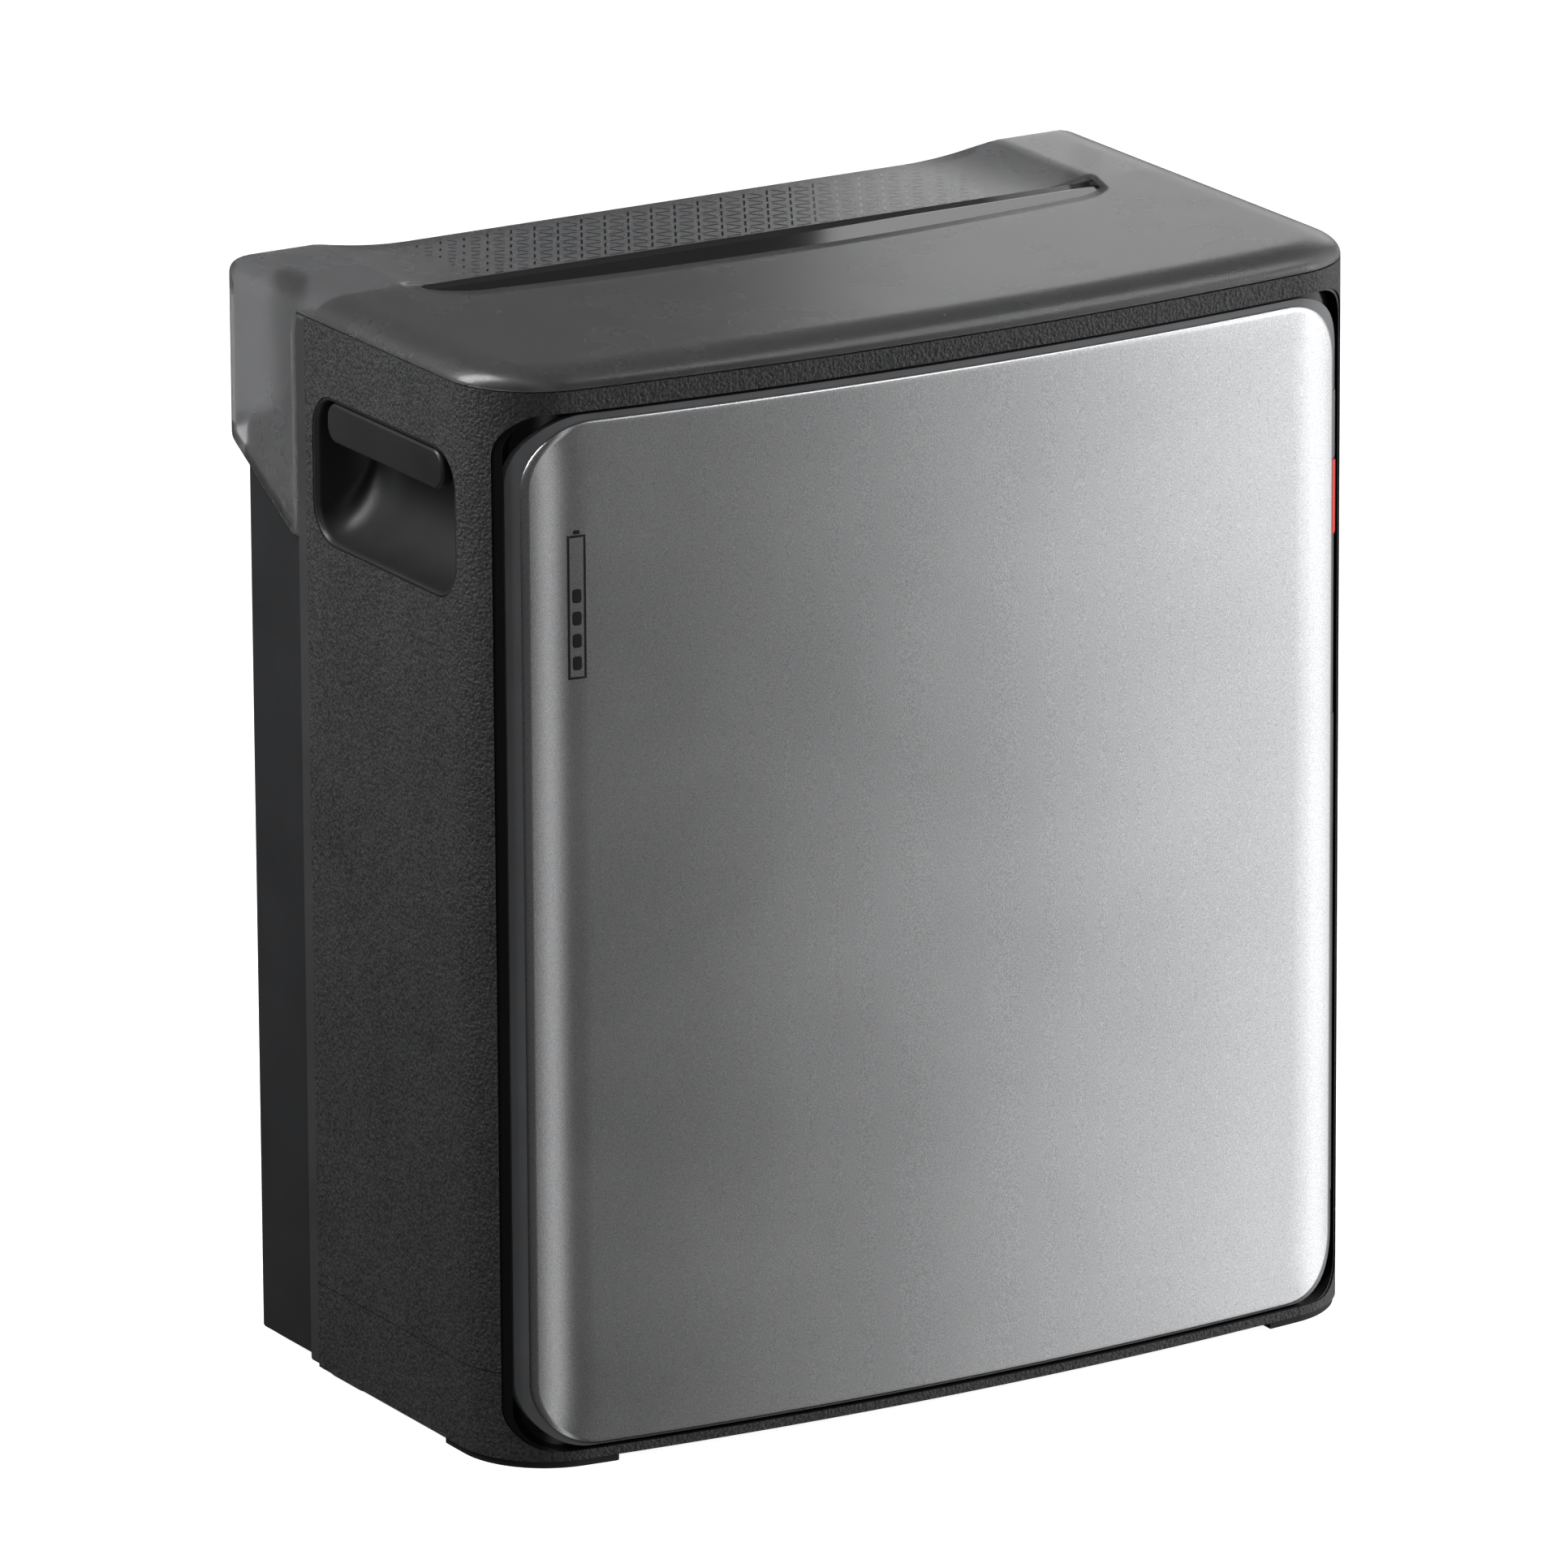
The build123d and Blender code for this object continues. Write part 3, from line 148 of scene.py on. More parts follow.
def surface(name, look):
    # one finish: a wide noise drifts the colour and the roughness, a fine one is the grain of the
    # bump, and speckle is the fine noise's share in the colour
    material = bpy.data.materials.new(name)
    material.use_nodes = True
    nodes, links = material.node_tree.nodes, material.node_tree.links
    shader = nodes["Principled BSDF"]
    place = nodes.new("ShaderNodeTexCoord")
    drift = nodes.new("ShaderNodeTexNoise")
    drift.inputs["Scale"].default_value = look.get("driftScale", 18)
    drift.inputs["Detail"].default_value = 3
    links.new(place.outputs["Object"], drift.inputs["Vector"])
    tint = nodes.new("ShaderNodeValToRGB")
    low, high = look.get("spread", (0.88, 1.1))
    color = np.array(look["color"])
    for stop, position, share in zip(tint.color_ramp.elements, noiseSpan, (low, high)):
        stop.position = position
        stop.color = (*np.clip(color * share, 0, 1), 1)
    grain = nodes.new("ShaderNodeTexNoise")
    grain.inputs["Scale"].default_value = look.get("grainScale", 500)
    grain.inputs["Detail"].default_value = 2
    links.new(place.outputs["Object"], grain.inputs["Vector"])
    if look.get("speckle", 0) > 0:
        blend = nodes.new("ShaderNodeMix")
        blend.inputs["Factor"].default_value = look["speckle"]
        links.new(drift.outputs["Fac"], blend.inputs[2])
        links.new(grain.outputs["Fac"], blend.inputs[3])
        links.new(blend.outputs[0], tint.inputs["Fac"])
    else:
        links.new(drift.outputs["Fac"], tint.inputs["Fac"])
    links.new(tint.outputs["Color"], shader.inputs["Base Color"])
    rough = nodes.new("ShaderNodeMapRange")
    rough.inputs["To Min"].default_value = look["rough"] * 0.9      # ten percent either way
    rough.inputs["To Max"].default_value = look["rough"] * 1.1
    links.new(drift.outputs["Fac"], rough.inputs["Value"])
    links.new(rough.outputs["Result"], shader.inputs["Roughness"])
    bump = nodes.new("ShaderNodeBump")
    bump.inputs["Strength"].default_value = look.get("bump", 0.2)
    bump.inputs["Distance"].default_value = look.get("relief", 0.2) * mm
    links.new(grain.outputs["Fac"], bump.inputs["Height"])
    links.new(bump.outputs["Normal"], shader.inputs["Normal"])
    shader.inputs["Metallic"].default_value = look.get("metal", 0)
    shader.inputs["Specular IOR Level"].default_value = look.get("specular", 0.5)
    shader.inputs["Transmission Weight"].default_value = look.get("clear", 0)
    shader.inputs["IOR"].default_value = 1.45      # clear plastic
    if look.get("glow", 0) > 0:
        shader.inputs["Emission Color"].default_value = (*look["color"], 1)
        shader.inputs["Emission Strength"].default_value = look["glow"]
    return material


# one finish for each material slot of the CAD nodes
finishes = {
    "charcoal_plastic": {"color": (0.040, 0.0403, 0.041), "rough": 0.5, "grainScale": 480, "bump": 1.0,
                         "relief": 1.2, "speckle": 0.85, "spread": (0.45, 1.7), "specular": 0.35},
    "black_plastic": {"color": (0.007, 0.007, 0.0075), "rough": 0.15, "specular": 0.35, "grainScale": 900,
                      "bump": 0.08},
    "grey_plastic": {"color": (0.16, 0.163, 0.168), "rough": 0.38, "grainScale": 900, "bump": 0.15},
    "silver_panel": {"color": (0.58, 0.583, 0.587), "rough": 0.30, "metal": 1.0, "grainScale": 1300,
                     "bump": 0.5, "relief": 0.12, "speckle": 0.8, "spread": (0.72, 1.28), "driftScale": 6},
    "smoke_cover": {"color": (0.37, 0.372, 0.378), "rough": 0.27, "clear": 0.90, "grainScale": 1400,
                    "bump": 0.015, "spread": (0.97, 1.03)},
    "cast_casing": {"color": (0.022, 0.0225, 0.024), "rough": 0.48, "grainScale": 700, "bump": 0.35},
    "satin_metal": {"color": (0.055, 0.0555, 0.057), "rough": 0.42, "metal": 0.1, "grainScale": 1100,
                    "bump": 0.15},
    "steel_fasteners": {"color": (0.52, 0.52, 0.53), "rough": 0.3, "metal": 1.0, "grainScale": 1500},
    "brass_fittings": {"color": (0.62, 0.45, 0.18), "rough": 0.3, "metal": 1.0, "grainScale": 1500},
    "red_plastic": {"color": (0.92, 0.05, 0.045), "rough": 0.32, "grainScale": 900, "bump": 0.1,
                    "specular": 0.6},
    "light_lens": {"color": (0.20, 0.205, 0.21), "rough": 0.25, "grainScale": 700, "bump": 0.1,
                   "clear": 0.2},
    "circuit_board": {"color": (0.015, 0.09, 0.04), "rough": 0.4, "grainScale": 300, "bump": 0.3},
    "foot_rubber": {"color": (0.014, 0.014, 0.0145), "rough": 0.75, "grainScale": 600, "bump": 0.5},
    "seal_rubber": {"color": (0.02, 0.02, 0.02), "rough": 0.85, "grainScale": 900, "bump": 0.6},
    "cell_case": {"color": (0.10, 0.19, 0.36), "rough": 0.4, "grainScale": 400, "bump": 0.15},
    "copper": {"color": (0.72, 0.36, 0.20), "rough": 0.28, "metal": 1.0, "grainScale": 800},
    "inductor_core": {"color": (0.10, 0.11, 0.07), "rough": 0.5, "grainScale": 500, "bump": 0.4},
}
materials = {slot: surface(slot, look) for slot, look in finishes.items()}

# finishes of the pieces made here
bowlSatin = surface("bowl_satin", {"color": (0.020, 0.0202, 0.0205), "rough": 0.36, "bump": 0.06,
                                   "specular": 0.4})
deckGloss = surface("deck_gloss", {"color": (0.005, 0.005, 0.0052), "rough": 0.09, "bump": 0.02,
                                   "specular": 0.3})
printInk = surface("print_ink", {"color": (0.006, 0.006, 0.007), "rough": 0.45, "bump": 0.05})
# vent slot finishes: a near-black one and a ten times lighter copy of it, both painted shade of the slot
# holes, the copy painted as less shade
slotPaintedDeepShade = surface("slot_painted_deep_shade", {"color": (0.003, 0.003, 0.003), "rough": 0.10, "bump": 0.02,
                                 "specular": 0.9})
slotPaintedPaleShade = surface("slot_painted_pale_shade", {"color": (0.03, 0.03, 0.03), "rough": 0.14, "bump": 0.02,
                                   "specular": 0.9})

slotOfNode = {part["node"]: part["material_slot"] for part in frame["record"]["subparts"]}
for node, item in frame["nodes"].items():
    item.data.materials.clear()
    item.data.materials.append(materials[slotOfNode[node]])
print("materials done:", len(materials))

# front panel: a bowed metal sheet with its rim rolled over
panelLook = {"radius": 42 * mm, "thickness": 2.6 * mm, "roll": 3.8 * mm, "rollDepth": 2.3 * mm,
             "rollSteps": 9, "fill": 26, "cornerSteps": 18, "edgeSteps": 22}
innermost = 0.02        # size of the smallest ring of a plate, next to its pole
backShrink = 0.2        # share of the roll by which a plate's back is smaller


def bowedPlate(centerX, centerZ, halfX, halfZ, inset, look):
    # closed plate on the bowed front: rounded rectangles shrink from the rim to the middle, at the
    # back and the front, y = frontSkin(x), and between them a quarter ellipse rolls the rim over:
    # shrink = roll * (1 - cos), depth = rollDepth * (1 - sin)
    turn = np.linspace(0, quarter, look["rollSteps"])
    shrink = look["roll"] * (1 - np.cos(turn))
    depth = look["rollDepth"] * (1 - np.sin(turn))
    ease = np.linspace(1, innermost, look["fill"])

    def ring(amount, scale, back):
        outline = roundedOutline(halfX - amount, halfZ - amount, look["radius"] - amount,
                                 look["cornerSteps"], look["edgeSteps"]) * scale
        x = outline[:, 0] + centerX
        z = outline[:, 1] + centerZ
        return np.stack([x, frontSkin(x, inset + back), z], -1)

    rings = [ring(look["roll"] * backShrink, scale, look["thickness"]) for scale in ease[::-1]]
    rings += [ring(amount, 1.0, back) for amount, back in zip(shrink, depth)]
    rings += [ring(look["roll"], scale, 0.0) for scale in ease[1:]]
    return np.array(rings)


panelInset = panelLow.y - frontY
panelRings = bowedPlate(0, (panelLow.z + panelHigh.z) / 2, (panelHigh.x - panelLow.x) / 2,
                        (panelHigh.z - panelLow.z) / 2, panelInset, panelLook)
panel = addRings("silverPanel", panelRings, materials["silver_panel"], "cabinet")
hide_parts("front_panel")

# a plain battery pictogram printed on the panel: a case, a terminal and charge bars
markLook = {"x": -265.6 * mm, "low": 513 * mm, "width": 12.2 * mm, "height": 92 * mm, "line": 1.5 * mm,
            "bars": 6, "emptyBars": 2, "barShare": 0.62, "print": 0.08 * mm, "cornerShare": 0.3,
            "terminalRise": 1.9 * mm, "terminalWidth": 4.4 * mm, "terminalHeight": 2.6 * mm}


def printedBar(name, x, z, width, height):
    # a thin bowed plate that stands proud of the panel by the thickness of the print
    proud = markLook["print"]
    plateLook = {"radius": min(width, height) * markLook["cornerShare"], "thickness": proud * 0.9,
                 "roll": proud * 0.5, "rollDepth": proud * 0.5, "rollSteps": 3, "fill": 5,
                 "cornerSteps": 5, "edgeSteps": 5}
    rings = bowedPlate(x, z, width / 2, height / 2, panelInset - proud, plateLook)
    bar = addRings(name, rings, printInk, "cabinet")


caseMid = markLook["low"] + markLook["height"] / 2
for sign, name in ((-1, "markCaseLeft"), (1, "markCaseRight")):
    printedBar(name, markLook["x"] + sign * (markLook["width"] - markLook["line"]) / 2, caseMid,
               markLook["line"], markLook["height"])
for sign, name in ((-1, "markCaseBottom"), (1, "markCaseTop")):
    printedBar(name, markLook["x"], caseMid + sign * (markLook["height"] - markLook["line"]) / 2,
               markLook["width"] - 2 * markLook["line"], markLook["line"])
printedBar("markTerminal", markLook["x"], markLook["low"] + markLook["height"] + markLook["terminalRise"],
           markLook["terminalWidth"], markLook["terminalHeight"])
barPitch = (markLook["height"] - 4 * markLook["line"]) / markLook["bars"]
for index in range(markLook["bars"] - markLook["emptyBars"]):
    printedBar(f"markBar{index + 1}", markLook["x"],
               markLook["low"] + 2 * markLook["line"] + barPitch * (index + 0.5),
               markLook["width"] - 4 * markLook["line"], barPitch * markLook["barShare"])
print("front panel done")

# carrying handles: a bowl sunk in each side, with a bar across its mouth
bowlLook = {"rim": 2.2 * mm, "wall": 2.0 * mm, "depth": 42 * mm, "inset": 0.5 * mm, "rimStep": 0.6 * mm,
            "lip": 4 * mm, "backMargin": 3 * mm, "turnSteps": 16, "rimSteps": 5, "cornerSteps": 12,
            "edgeSteps": 10, "outerFill": (0.05, 0.5, 1.0), "innerFill": (0.93, 0.8, 0.5, 0.05)}
mouth = {"halfY": 89.8 * mm, "low": 555.4 * mm, "high": 651.6 * mm, "radius": 24.6 * mm}
pocket = {"halfY": 76 * mm, "low": 606 * mm, "high": 655 * mm, "radius": 17 * mm}
handleY = (gripLow.y + gripHigh.y) / 2


def bowlRings(side):
    # a quarter ellipse carried round the opening: depth goes with the sine of the turn, and the
    # outline passes from mouth to pocket with 1 - cosine, first outside, then over the rim and inside
    def ring(x, share, grow, scale=1.0):
        halfY, low, high, radius = (mouth[key] + (pocket[key] - mouth[key]) * share for key in mouth)
        low, high = low - grow, high + grow
        outline = roundedOutline(halfY + grow, (high - low) / 2, radius + grow,
                                 bowlLook["cornerSteps"], bowlLook["edgeSteps"]) * scale
        return np.stack([np.full(len(outline), side * x), handleY + outline[:, 0],
                         (low + high) / 2 + outline[:, 1]], -1)

    rim, wall, depth, lip, step = (bowlLook[key] for key in ("rim", "wall", "depth", "lip", "rimStep"))
    face = halfWidth - bowlLook["inset"]
    back = halfWidth - depth
    turn = np.linspace(0, quarter, bowlLook["turnSteps"])
    rings = [ring(back - wall, 1, -bowlLook["backMargin"], scale) for scale in bowlLook["outerFill"]]
    rings += [ring(halfWidth - lip - (depth + wall - lip) * np.sin(angle), 1 - np.cos(angle), 0.0)
              for angle in turn[::-1][1:]]
    rings += [ring(face, 0, -rim * share / 2) for share in np.linspace(0, 1, bowlLook["rimSteps"])]
    rings += [ring(face - step - (face - step - back) * np.sin(angle), 1 - np.cos(angle), -rim)
              for angle in turn]
    rings += [ring(back, 1, -rim, scale) for scale in bowlLook["innerFill"]]
    return np.array(rings)


barLook = {"roll": 2.2 * mm, "radius": 11 * mm, "thickness": 9 * mm, "turnSteps": 6, "cornerSteps": 10,
           "edgeSteps": 8, "frontFill": (0.05, 0.5, 1.0), "backFill": (0.5, 0.05)}


def barRings(side):
    # a rounded bar just behind the skin: rounded rectangles, rolled over by quarter circles
    # roll * (1 - cos), roll * (1 - sin) at the front and the back
    halfY = (gripHigh.y - gripLow.y) / 2
    halfZ = (gripHigh.z - gripLow.z) / 2
    outer = max(abs(gripLow.x), abs(gripHigh.x))
    roll, thickness = barLook["roll"], barLook["thickness"]
    turn = np.linspace(0, quarter, barLook["turnSteps"])

    def ring(depth, shrink, scale=1.0):
        outline = roundedOutline(halfY - shrink, halfZ - shrink, barLook["radius"] - shrink,
                                 barLook["cornerSteps"], barLook["edgeSteps"]) * scale
        return np.stack([np.full(len(outline), side * (outer - depth)), handleY + outline[:, 0],
                         (gripLow.z + gripHigh.z) / 2 + outline[:, 1]], -1)

    rings = [ring(0.0, roll, scale) for scale in barLook["frontFill"]]
    rings += [ring(roll * (1 - np.cos(angle)), roll * (1 - np.sin(angle))) for angle in turn[1:]]
    rings += [ring(thickness - roll * (1 - np.cos(angle)), roll * (1 - np.sin(angle)))
              for angle in turn[::-1]]
    rings += [ring(thickness, roll, scale) for scale in barLook["backFill"]]
    return np.array(rings)


for side, name in ((-1, "left"), (1, "right")):
    cup = addRings(f"handleBowl_{name}", bowlRings(side), bowlSatin, "cabinet")
    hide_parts(f"handle_cup_{name}")
    grip = addRings(f"handleBar_{name}", barRings(side), bowlSatin, "cabinet")
    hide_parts(f"handle_grip_{name}")
print("handles done")

# top cover: a clear sheet with a recess, open over a bare strip of the deck, and a skirt behind
coverLook = {"wall": 2.4 * mm, "edgeHeight": 13.3 * mm, "edgeReach": 27 * mm, "backRadius": 17 * mm,
             "rearDrop": 4 * mm, "rearReach": 5 * mm, "recessHalf": 254 * mm, "recessFlat": 183 * mm,
             "recessDrop": 8.4 * mm, "recessMargin": 0.1 * mm, "stripBack": 65.3 * mm,
             "stripFront": 11 * mm, "stripBow": 1700 * mm, "stripCorner": 44 * mm, "skirtFront": 85.4 * mm,
             "skirtShelf": 94 * mm, "skirtLow": 552 * mm, "skirtRise": 600 * mm, "skirtEnd": 176 * mm,
             "edgeShare": 0.14, "rearShare": 0.2}
# how finely the cover's grid is divided
coverGrid = {"flatColumns": 16, "riseColumns": 12, "cornerColumns": 24, "edgeRows": 14, "frontRows": 16,
             "shelfRows": 3, "recessRows": 9, "rearRows": 14, "skirtRows": 10}
deckLook = {"inset": 3.0 * mm, "edgeHeight": 10.2 * mm, "edgeReach": 24 * mm, "wall": 3.0 * mm,
            "top": 3.1 * mm, "back": 65 * mm}
openBack = 1.0              # a back edge so far off that it doesn't count
mergeSize = 0.02 * mm       # points nearer than this are one
insideZ = 0.4               # height of a point inside the unit, on its axis


def edgeDistance(x, y, inset, backY, backRadius):
    # how far a point stands inside the plan: the least of its distances to the bow, the sides and the
    # back, and radius - hypot(x, y) about the centre of a corner where it stands in one
    wide = np.abs(x)
    bow = shape["bowRadius"] - inset - np.hypot(x, y - frontY - shape["bowRadius"])
    distance = np.minimum(np.minimum(halfWidth - inset - wide, bow), backY - y)
    corner = shape["cornerRadius"] - inset - np.hypot(np.maximum(wide - cornerX, 0), y - cornerY)
    distance = np.where((wide > cornerX) & (y < cornerY), corner, distance)
    if backRadius > 0:
        nearX, nearY = halfWidth - inset - backRadius, backY - backRadius
        back = backRadius - np.hypot(np.maximum(wide - nearX, 0), np.maximum(y - nearY, 0))
        distance = np.where((wide > nearX) & (y > nearY), np.minimum(distance, back), distance)
    return np.maximum(distance, 0)


def edgeDrop(distance, height, reach):
    # quarter ellipse: full drop at the rim, none at reach inside it, height * (1 - sqrt(1 - share^2))
    share = np.clip(1 - distance / reach, 0, 1)
    return height * (1 - np.sqrt(1 - share ** 2))


def recessRise(x):
    # height above the recess's flat floor: an arc climbs to the top at each end, and its radius is
    # (run^2 + drop^2) / (2 * drop)
    run = coverLook["recessHalf"] - coverLook["recessFlat"]
    sweep = (run ** 2 + coverLook["recessDrop"] ** 2) / (2 * coverLook["recessDrop"])
    past = np.clip(np.abs(x) - coverLook["recessFlat"], 0, run)
    return sweep - np.sqrt(sweep ** 2 - past ** 2)


def planColumns(inset):
    # x positions: even over the recess, then cornerX + radius * sin(turn) round the front corners
    turn = np.linspace(0, quarter, coverGrid["cornerColumns"])
    half = np.concatenate([
        np.linspace(0, coverLook["recessFlat"], coverGrid["flatColumns"])[:-1],
        np.linspace(coverLook["recessFlat"], coverLook["recessHalf"], coverGrid["riseColumns"]),
        cornerX + (shape["cornerRadius"] - inset) * np.sin(turn)])
    return np.concatenate([-half[:0:-1], half])


def stripEdge(x):
    # front edge of the bare strip: a wide arc, and a quarter ellipse depth * (1 - sqrt(1 - past^2))
    # that turns back to the strip's straight rear edge at each end
    endX = coverLook["recessHalf"] - coverLook["stripCorner"]
    wide = np.abs(x)
    bow = coverLook["stripBow"]
    arcEnd = coverLook["stripFront"] + bow - np.sqrt(bow ** 2 - endX ** 2)
    onBow = coverLook["stripFront"] + bow - np.sqrt(bow ** 2 - np.minimum(wide, endX) ** 2)
    past = np.clip((wide - endX) / coverLook["stripCorner"], 0, 1)
    depth = coverLook["stripBack"] - arcEnd
    return np.where(wide <= endX, onBow, arcEnd + depth * (1 - np.sqrt(1 - past ** 2)))


def welded(name, points, faces, material, wall, body):
    # a sheet with its doubles merged, thickened inwards; a quad with two corners merged is left
    # as a triangle, and one that has collapsed further is dropped
    cell = np.round(points / mergeSize).astype(np.int64)
    index, order = np.unique(cell, axis=0, return_index=True, return_inverse=True)[1:]
    quads = order.ravel()[faces]
    whole = (np.diff(np.sort(quads, axis=1), axis=1) > 0).all(1)
    faceList = quads[whole].tolist()
    for quad in quads[~whole].tolist():
        corners = [corner for k, corner in enumerate(quad) if corner != quad[k - 1]]
        if len(set(corners)) == 3 and len(corners) == 3:
            faceList.append(corners)
    piece = newPiece(name, points[index], faceList, material)
    thick = piece.modifiers.new("wall", "SOLIDIFY")
    thick.thickness = wall
    thick.offset = -1
    thick.use_even_offset = False
    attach(piece, body)
    return piece


def coverHeight(x, y, recessed):
    # top of the cover less the greater of two drops: the front and the sides roll off over a wide
    # ellipse, the rear over a small one; inside the recess the lower of this and its floor
    frontDistance = edgeDistance(x, y, 0, openBack, 0)
    allRound = edgeDistance(x, y, 0, coverHigh.y, coverLook["backRadius"])
    drop = np.maximum(edgeDrop(frontDistance, coverLook["edgeHeight"], coverLook["edgeReach"]),
                      edgeDrop(allRound, coverLook["rearDrop"], coverLook["rearReach"]))
    height = coverHigh.z - drop
    if recessed:
        floorZ = coverHigh.z - coverLook["recessDrop"] + recessRise(x)
        inRecess = np.abs(x) < coverLook["recessHalf"] - coverLook["recessMargin"]
        height = np.where(inRecess, np.minimum(height, floorZ), height)
    return height


# the cover's grid: the same columns in front of the strip, behind it and down the skirt
columns = planColumns(0)
frontRow = frontSkin(columns, 0)
nearSide = halfWidth - coverLook["backRadius"]
backRow = coverHigh.y - coverLook["backRadius"] + np.sqrt(
    coverLook["backRadius"] ** 2 - np.clip(np.abs(columns) - nearSide, 0, coverLook["backRadius"]) ** 2)
edgeZone = (1 - np.cos(np.linspace(0, quarter, coverGrid["edgeRows"]))) * coverLook["edgeShare"]
frontShare = np.concatenate([edgeZone, np.linspace(coverLook["edgeShare"], 1, coverGrid["frontRows"])[1:]])
skirtShare = (coverLook["skirtFront"] - coverLook["stripBack"]) / (backRow[-1] - coverLook["stripBack"])
rearStart = 1 - coverLook["rearShare"]
rearTurn = np.linspace(0, quarter, coverGrid["rearRows"])
backShare = np.concatenate([np.linspace(0, skirtShare, coverGrid["shelfRows"] + 1),
                            np.linspace(skirtShare, rearStart, coverGrid["recessRows"])[1:],
                            rearStart + coverLook["rearShare"] * np.sin(rearTurn)[1:]])
frontPartY = frontRow + frontShare[:, None] * (stripEdge(columns) - frontRow)
backPartY = coverLook["stripBack"] + backShare[:, None] * (backRow - coverLook["stripBack"])
frontPartX = columns + 0 * frontPartY
backPartX = columns + 0 * backPartY
frontPart = np.stack([frontPartX, frontPartY, coverHeight(frontPartX, frontPartY, False)], -1)
backPart = np.stack([backPartX, backPartY, coverHeight(backPartX, backPartY, True)], -1)

# skirt: the rim behind the mid frame, carried straight down to a slanting lower edge
firstRow = coverGrid["shelfRows"]
rim = np.concatenate([backPart[firstRow:, -1], backPart[-1, ::-1][1:-1], backPart[firstRow:, 0][::-1]])
slant = np.interp(rim[:, 1], (coverLook["skirtShelf"], coverLook["skirtEnd"]),
                  (coverLook["skirtLow"], coverLook["skirtRise"]))
down = np.linspace(0, 1, coverGrid["skirtRows"])[:, None]
skirt = np.stack([rim[:, 0] + 0 * down, rim[:, 1] + 0 * down, rim[:, 2] + down * (slant - rim[:, 2])], -1)

# the three patches joined, every face turned to look away from a point inside the unit
patches = (frontPart, backPart, skirt)
starts = np.cumsum([0] + [patch.shape[0] * patch.shape[1] for patch in patches])
points = np.vstack([patch.reshape(-1, 3) for patch in patches])
faces = np.vstack([gridFaces(*patch.shape[:2], False) + start for patch, start in zip(patches, starts)])
normal = np.cross(points[faces[:, 1]] - points[faces[:, 0]], points[faces[:, 3]] - points[faces[:, 0]])
outward = points[faces].mean(1) - np.array([0, 0, insideZ])
inverted = (normal * outward).sum(1) < 0
faces[inverted] = faces[inverted][:, ::-1]
cover = welded("topCover", points, faces, materials["smoke_cover"], coverLook["wall"], "top_cover")
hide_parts("top_cover")

# deck: the glossy lid under the front of the cover
deckColumns = planColumns(deckLook["inset"])
deckFront = frontSkin(deckColumns, deckLook["inset"])
deckY = deckFront + frontShare[:, None] * (deckLook["back"] - deckFront)
deckX = deckColumns + 0 * deckY
deckDistance = edgeDistance(deckX, deckY, deckLook["inset"], openBack, 0)
deckDrop = edgeDrop(deckDistance, deckLook["edgeHeight"], deckLook["edgeReach"])
deckZ = coverHigh.z - deckLook["top"] - deckDrop
deckPoints = np.stack([deckX, deckY, deckZ], -1).reshape(-1, 3)
deck = welded("topDeck", deckPoints, gridFaces(*deckY.shape, False), deckGloss, deckLook["wall"], "cabinet")
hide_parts("top_deck")
print("top cover and deck done")

# vent pattern on the recess floor: thin bars along the three directions of a triangle lattice, near-black
# glossy bars whose dark is painted shade standing in for the through slots
ventLook = {"pitch": 17.2 * mm, "rowPitch": 15 * mm, "firstRow": 168 * mm, "rows": 6, "start": -151.5 * mm,
            "firstColumn": -14, "lastColumn": 43, "halfSpan": 205 * mm, "margin": 2 * mm,
            "short": 4.5 * mm, "growth": 6.5 * mm, "fade": 110 * mm, "width": 1.3 * mm, "lift": 0.12 * mm}


def slotMesh(name, centers, angle, material):
    # every slot is a flat six-sided bar, turned by the angle: x = center + along * cos - across * sin,
    # y = center + along * sin + across * cos; its length grows towards the middle of the pattern
    length = ventLook["short"] + ventLook["growth"] * np.clip(
        (ventLook["halfSpan"] - np.abs(centers[:, 0])) / ventLook["fade"], 0, 1)
    half = ventLook["width"] / 2
    along = np.stack([-length / 2, -length / 2 + half, length / 2 - half, length / 2,
                      length / 2 - half, -length / 2 + half], -1)
    across = np.array([0, half, half, 0, -half, -half]) + np.zeros_like(along)
    x = centers[:, :1] + along * np.cos(angle) - across * np.sin(angle)
    y = centers[:, 1:] + along * np.sin(angle) + across * np.cos(angle)
    top = np.full_like(x, coverHigh.z - coverLook["recessDrop"] + ventLook["lift"])
    low = top - 2 * ventLook["lift"]
    points = np.concatenate([np.stack([x, y, top], -1), np.stack([x, y, low], -1)], 1)
    side = np.arange(6)
    start = np.arange(len(centers))[:, None] * 12
    walls = start[:, :, None] + np.stack([side, side + 6, (side + 1) % 6 + 6, (side + 1) % 6], -1)
    faces = (start + side).tolist() + (start + 6 + side[::-1]).tolist() + walls.reshape(-1, 4).tolist()
    piece = newPiece(name, points.reshape(-1, 3), faces, material, smooth=False)
    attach(piece, "top_cover")


def ventCenters(shiftX, shiftY):
    # nodes of an even triangle lattice: x = pitch * (column - row / 2), y = -rowPitch * row
    columnRange = np.arange(ventLook["firstColumn"], ventLook["lastColumn"] + 1)
    column, row = np.meshgrid(columnRange, np.arange(ventLook["rows"]), indexing="ij")
    x = ventLook["start"] + ventLook["pitch"] * column - ventLook["pitch"] / 2 * row + shiftX
    y = ventLook["firstRow"] - ventLook["rowPitch"] * row + shiftY
    keep = np.abs(x) < ventLook["halfSpan"] - ventLook["margin"]
    return np.stack([x[keep], y[keep]], -1)


# the rising bars take the deeper painted shade, the falling and across bars the paler painted shade
slotMesh("ventSlotsRising", ventCenters(0, 0), np.radians(60), slotPaintedDeepShade)
slotMesh("ventSlotsFalling", ventCenters(ventLook["pitch"] / 2, 0), np.radians(-60), slotPaintedPaleShade)
slotMesh("ventSlotsAcross", ventCenters(ventLook["pitch"] / 4, -ventLook["rowPitch"] / 2), 0.0, slotPaintedPaleShade)
print("vent pattern done")

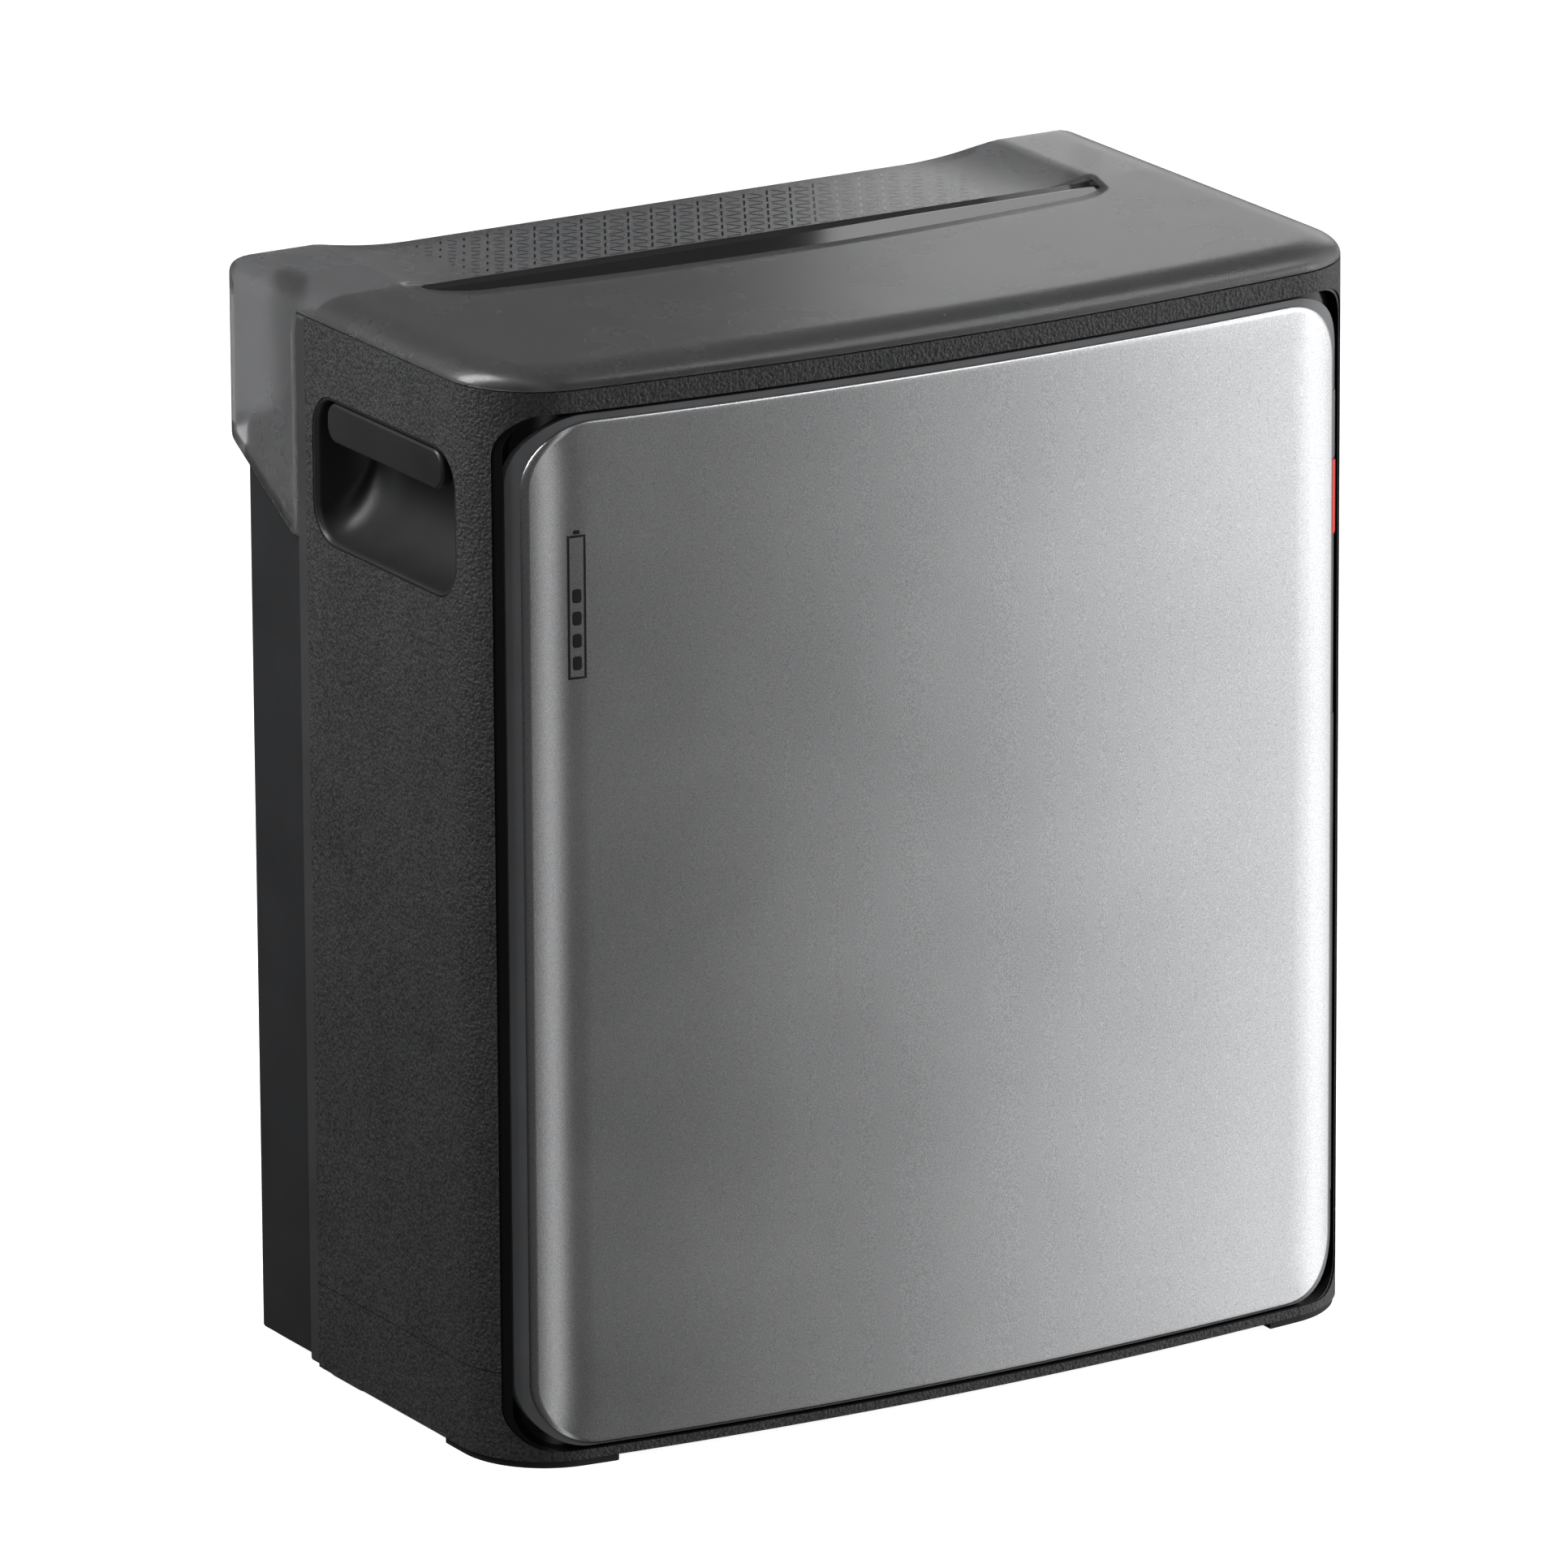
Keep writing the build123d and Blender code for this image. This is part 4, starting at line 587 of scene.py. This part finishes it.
# stage: a pale glowing floor that the unit doesn't mirror, and a studio of soft grey walls;
# each wall is how far right it stands (-1 left, 1 right) and its brightness, and behind is the
# share left to walls at the back, which only the cover and the deck mirror
stageLook = {"floorReach": 30.0, "floorColor": (0.93, 0.93, 0.93), "floorGlow": 1.0, "front": 1.0,
             "behind": 0.2, "frontEnd": -0.1, "behindStart": 0.4, "coolShare": 1.01,
             "walls": ((-1.0, 0.06), (-0.55, 0.06), (-0.28, 0.85), (-0.02, 0.03), (0.12, 0.03),
                       (0.30, 0.07), (0.48, 0.30), (0.66, 1.05), (0.85, 1.7))}
reach = stageLook["floorReach"]
floorPoints = np.array([(-reach, -reach, 0), (reach, -reach, 0), (reach, reach, 0), (-reach, reach, 0)])
floorPaint = surface("floor_paint", {"color": stageLook["floorColor"], "rough": 0.9, "spread": (0.99, 1.01),
                                     "bump": 0.02, "glow": stageLook["floorGlow"]})
floor = newPiece("floor", floorPoints, [(0, 1, 2, 3)], floorPaint, smooth=False)
floor.visible_glossy = False
floor.visible_diffuse = False
floor.visible_shadow = False

world = bpy.data.worlds.new("studio")
bpy.context.scene.world = world
world.use_nodes = True
wallNodes, wallLinks = world.node_tree.nodes, world.node_tree.links
direction = wallNodes.new("ShaderNodeTexCoord")
parts = wallNodes.new("ShaderNodeSeparateXYZ")
wallLinks.new(direction.outputs["Generated"], parts.inputs["Vector"])
acrossStudio = wallNodes.new("ShaderNodeMapRange")
acrossStudio.inputs["From Min"].default_value = -1
wallLinks.new(parts.outputs["X"], acrossStudio.inputs["Value"])
walls = wallNodes.new("ShaderNodeValToRGB")
walls.color_ramp.interpolation = "EASE"
stops = walls.color_ramp.elements
while len(stops) < len(stageLook["walls"]):
    stops.new(0.5)
for stop, (side, level) in zip(stops, stageLook["walls"]):
    stop.position = (side + 1) / 2
    stop.color = (level, level, level * stageLook["coolShare"], 1)
wallLinks.new(acrossStudio.outputs["Result"], walls.inputs["Fac"])
rear = wallNodes.new("ShaderNodeMapRange")
rear.inputs["From Min"].default_value = stageLook["frontEnd"]
rear.inputs["From Max"].default_value = stageLook["behindStart"]
rear.inputs["To Min"].default_value = stageLook["front"]
rear.inputs["To Max"].default_value = stageLook["behind"]
wallLinks.new(parts.outputs["Y"], rear.inputs["Value"])
background = wallNodes["Background"]
wallLinks.new(walls.outputs["Color"], background.inputs["Color"])
wallLinks.new(rear.outputs["Result"], background.inputs["Strength"])

# each light: place, what it faces, size, power
lights = {
    "keyRight": ((3.0, -2.0, 1.2), (0.1, 0.0, 0.40), (1.0, 2.4), 24),
    "backRight": ((1.7, 1.75, 1.25), (0.2, 0.0, 0.7), (1.1, 0.8), 3.0),
    "edgeTop": ((1.0, -0.8, 2.2), (0.0, -0.1, 0.68), (1.5, 0.8), 9),
    "sideTop": ((-1.15, 0.45, 1.45), (-0.32, 0.1, 0.6), (0.5, 1.4), 26),
}
for name, (place, aim, size, power) in lights.items():
    data = bpy.data.lights.new(name, "AREA")
    data.shape = "RECTANGLE"
    data.size, data.size_y = size
    data.energy = power
    lamp = bpy.data.objects.new(name, data)
    lamp.location = place
    lamp.rotation_euler = (Vector(aim) - Vector(place)).to_track_quat("-Z", "Y").to_euler()
    bpy.context.scene.collection.objects.link(lamp)
bpy.context.scene.view_settings.view_transform = "Standard"

# camera: a long lens far off, as for a catalogue view
cameraLook = {"place": (-4.7353, -7.9154, 3.1215), "aim": (-0.0758, -0.0976, 0.3975), "roll": 0.324,
              "lens": 347.3, "sensor": 36.0, "farthest": 100}
cameraData = bpy.data.cameras.new("camera")
cameraData.lens = cameraLook["lens"]
cameraData.sensor_width = cameraLook["sensor"]
cameraData.clip_end = cameraLook["farthest"]
camera = bpy.data.objects.new("camera", cameraData)
toward = Vector(cameraLook["aim"]) - Vector(cameraLook["place"])
turn = toward.to_track_quat("-Z", "Y") @ Quaternion((0, 0, 1), np.radians(-cameraLook["roll"]))
camera.matrix_world = Matrix.Translation(cameraLook["place"]) @ turn.to_matrix().to_4x4()
bpy.context.scene.collection.objects.link(camera)
bpy.context.scene.camera = camera
print("stage done")
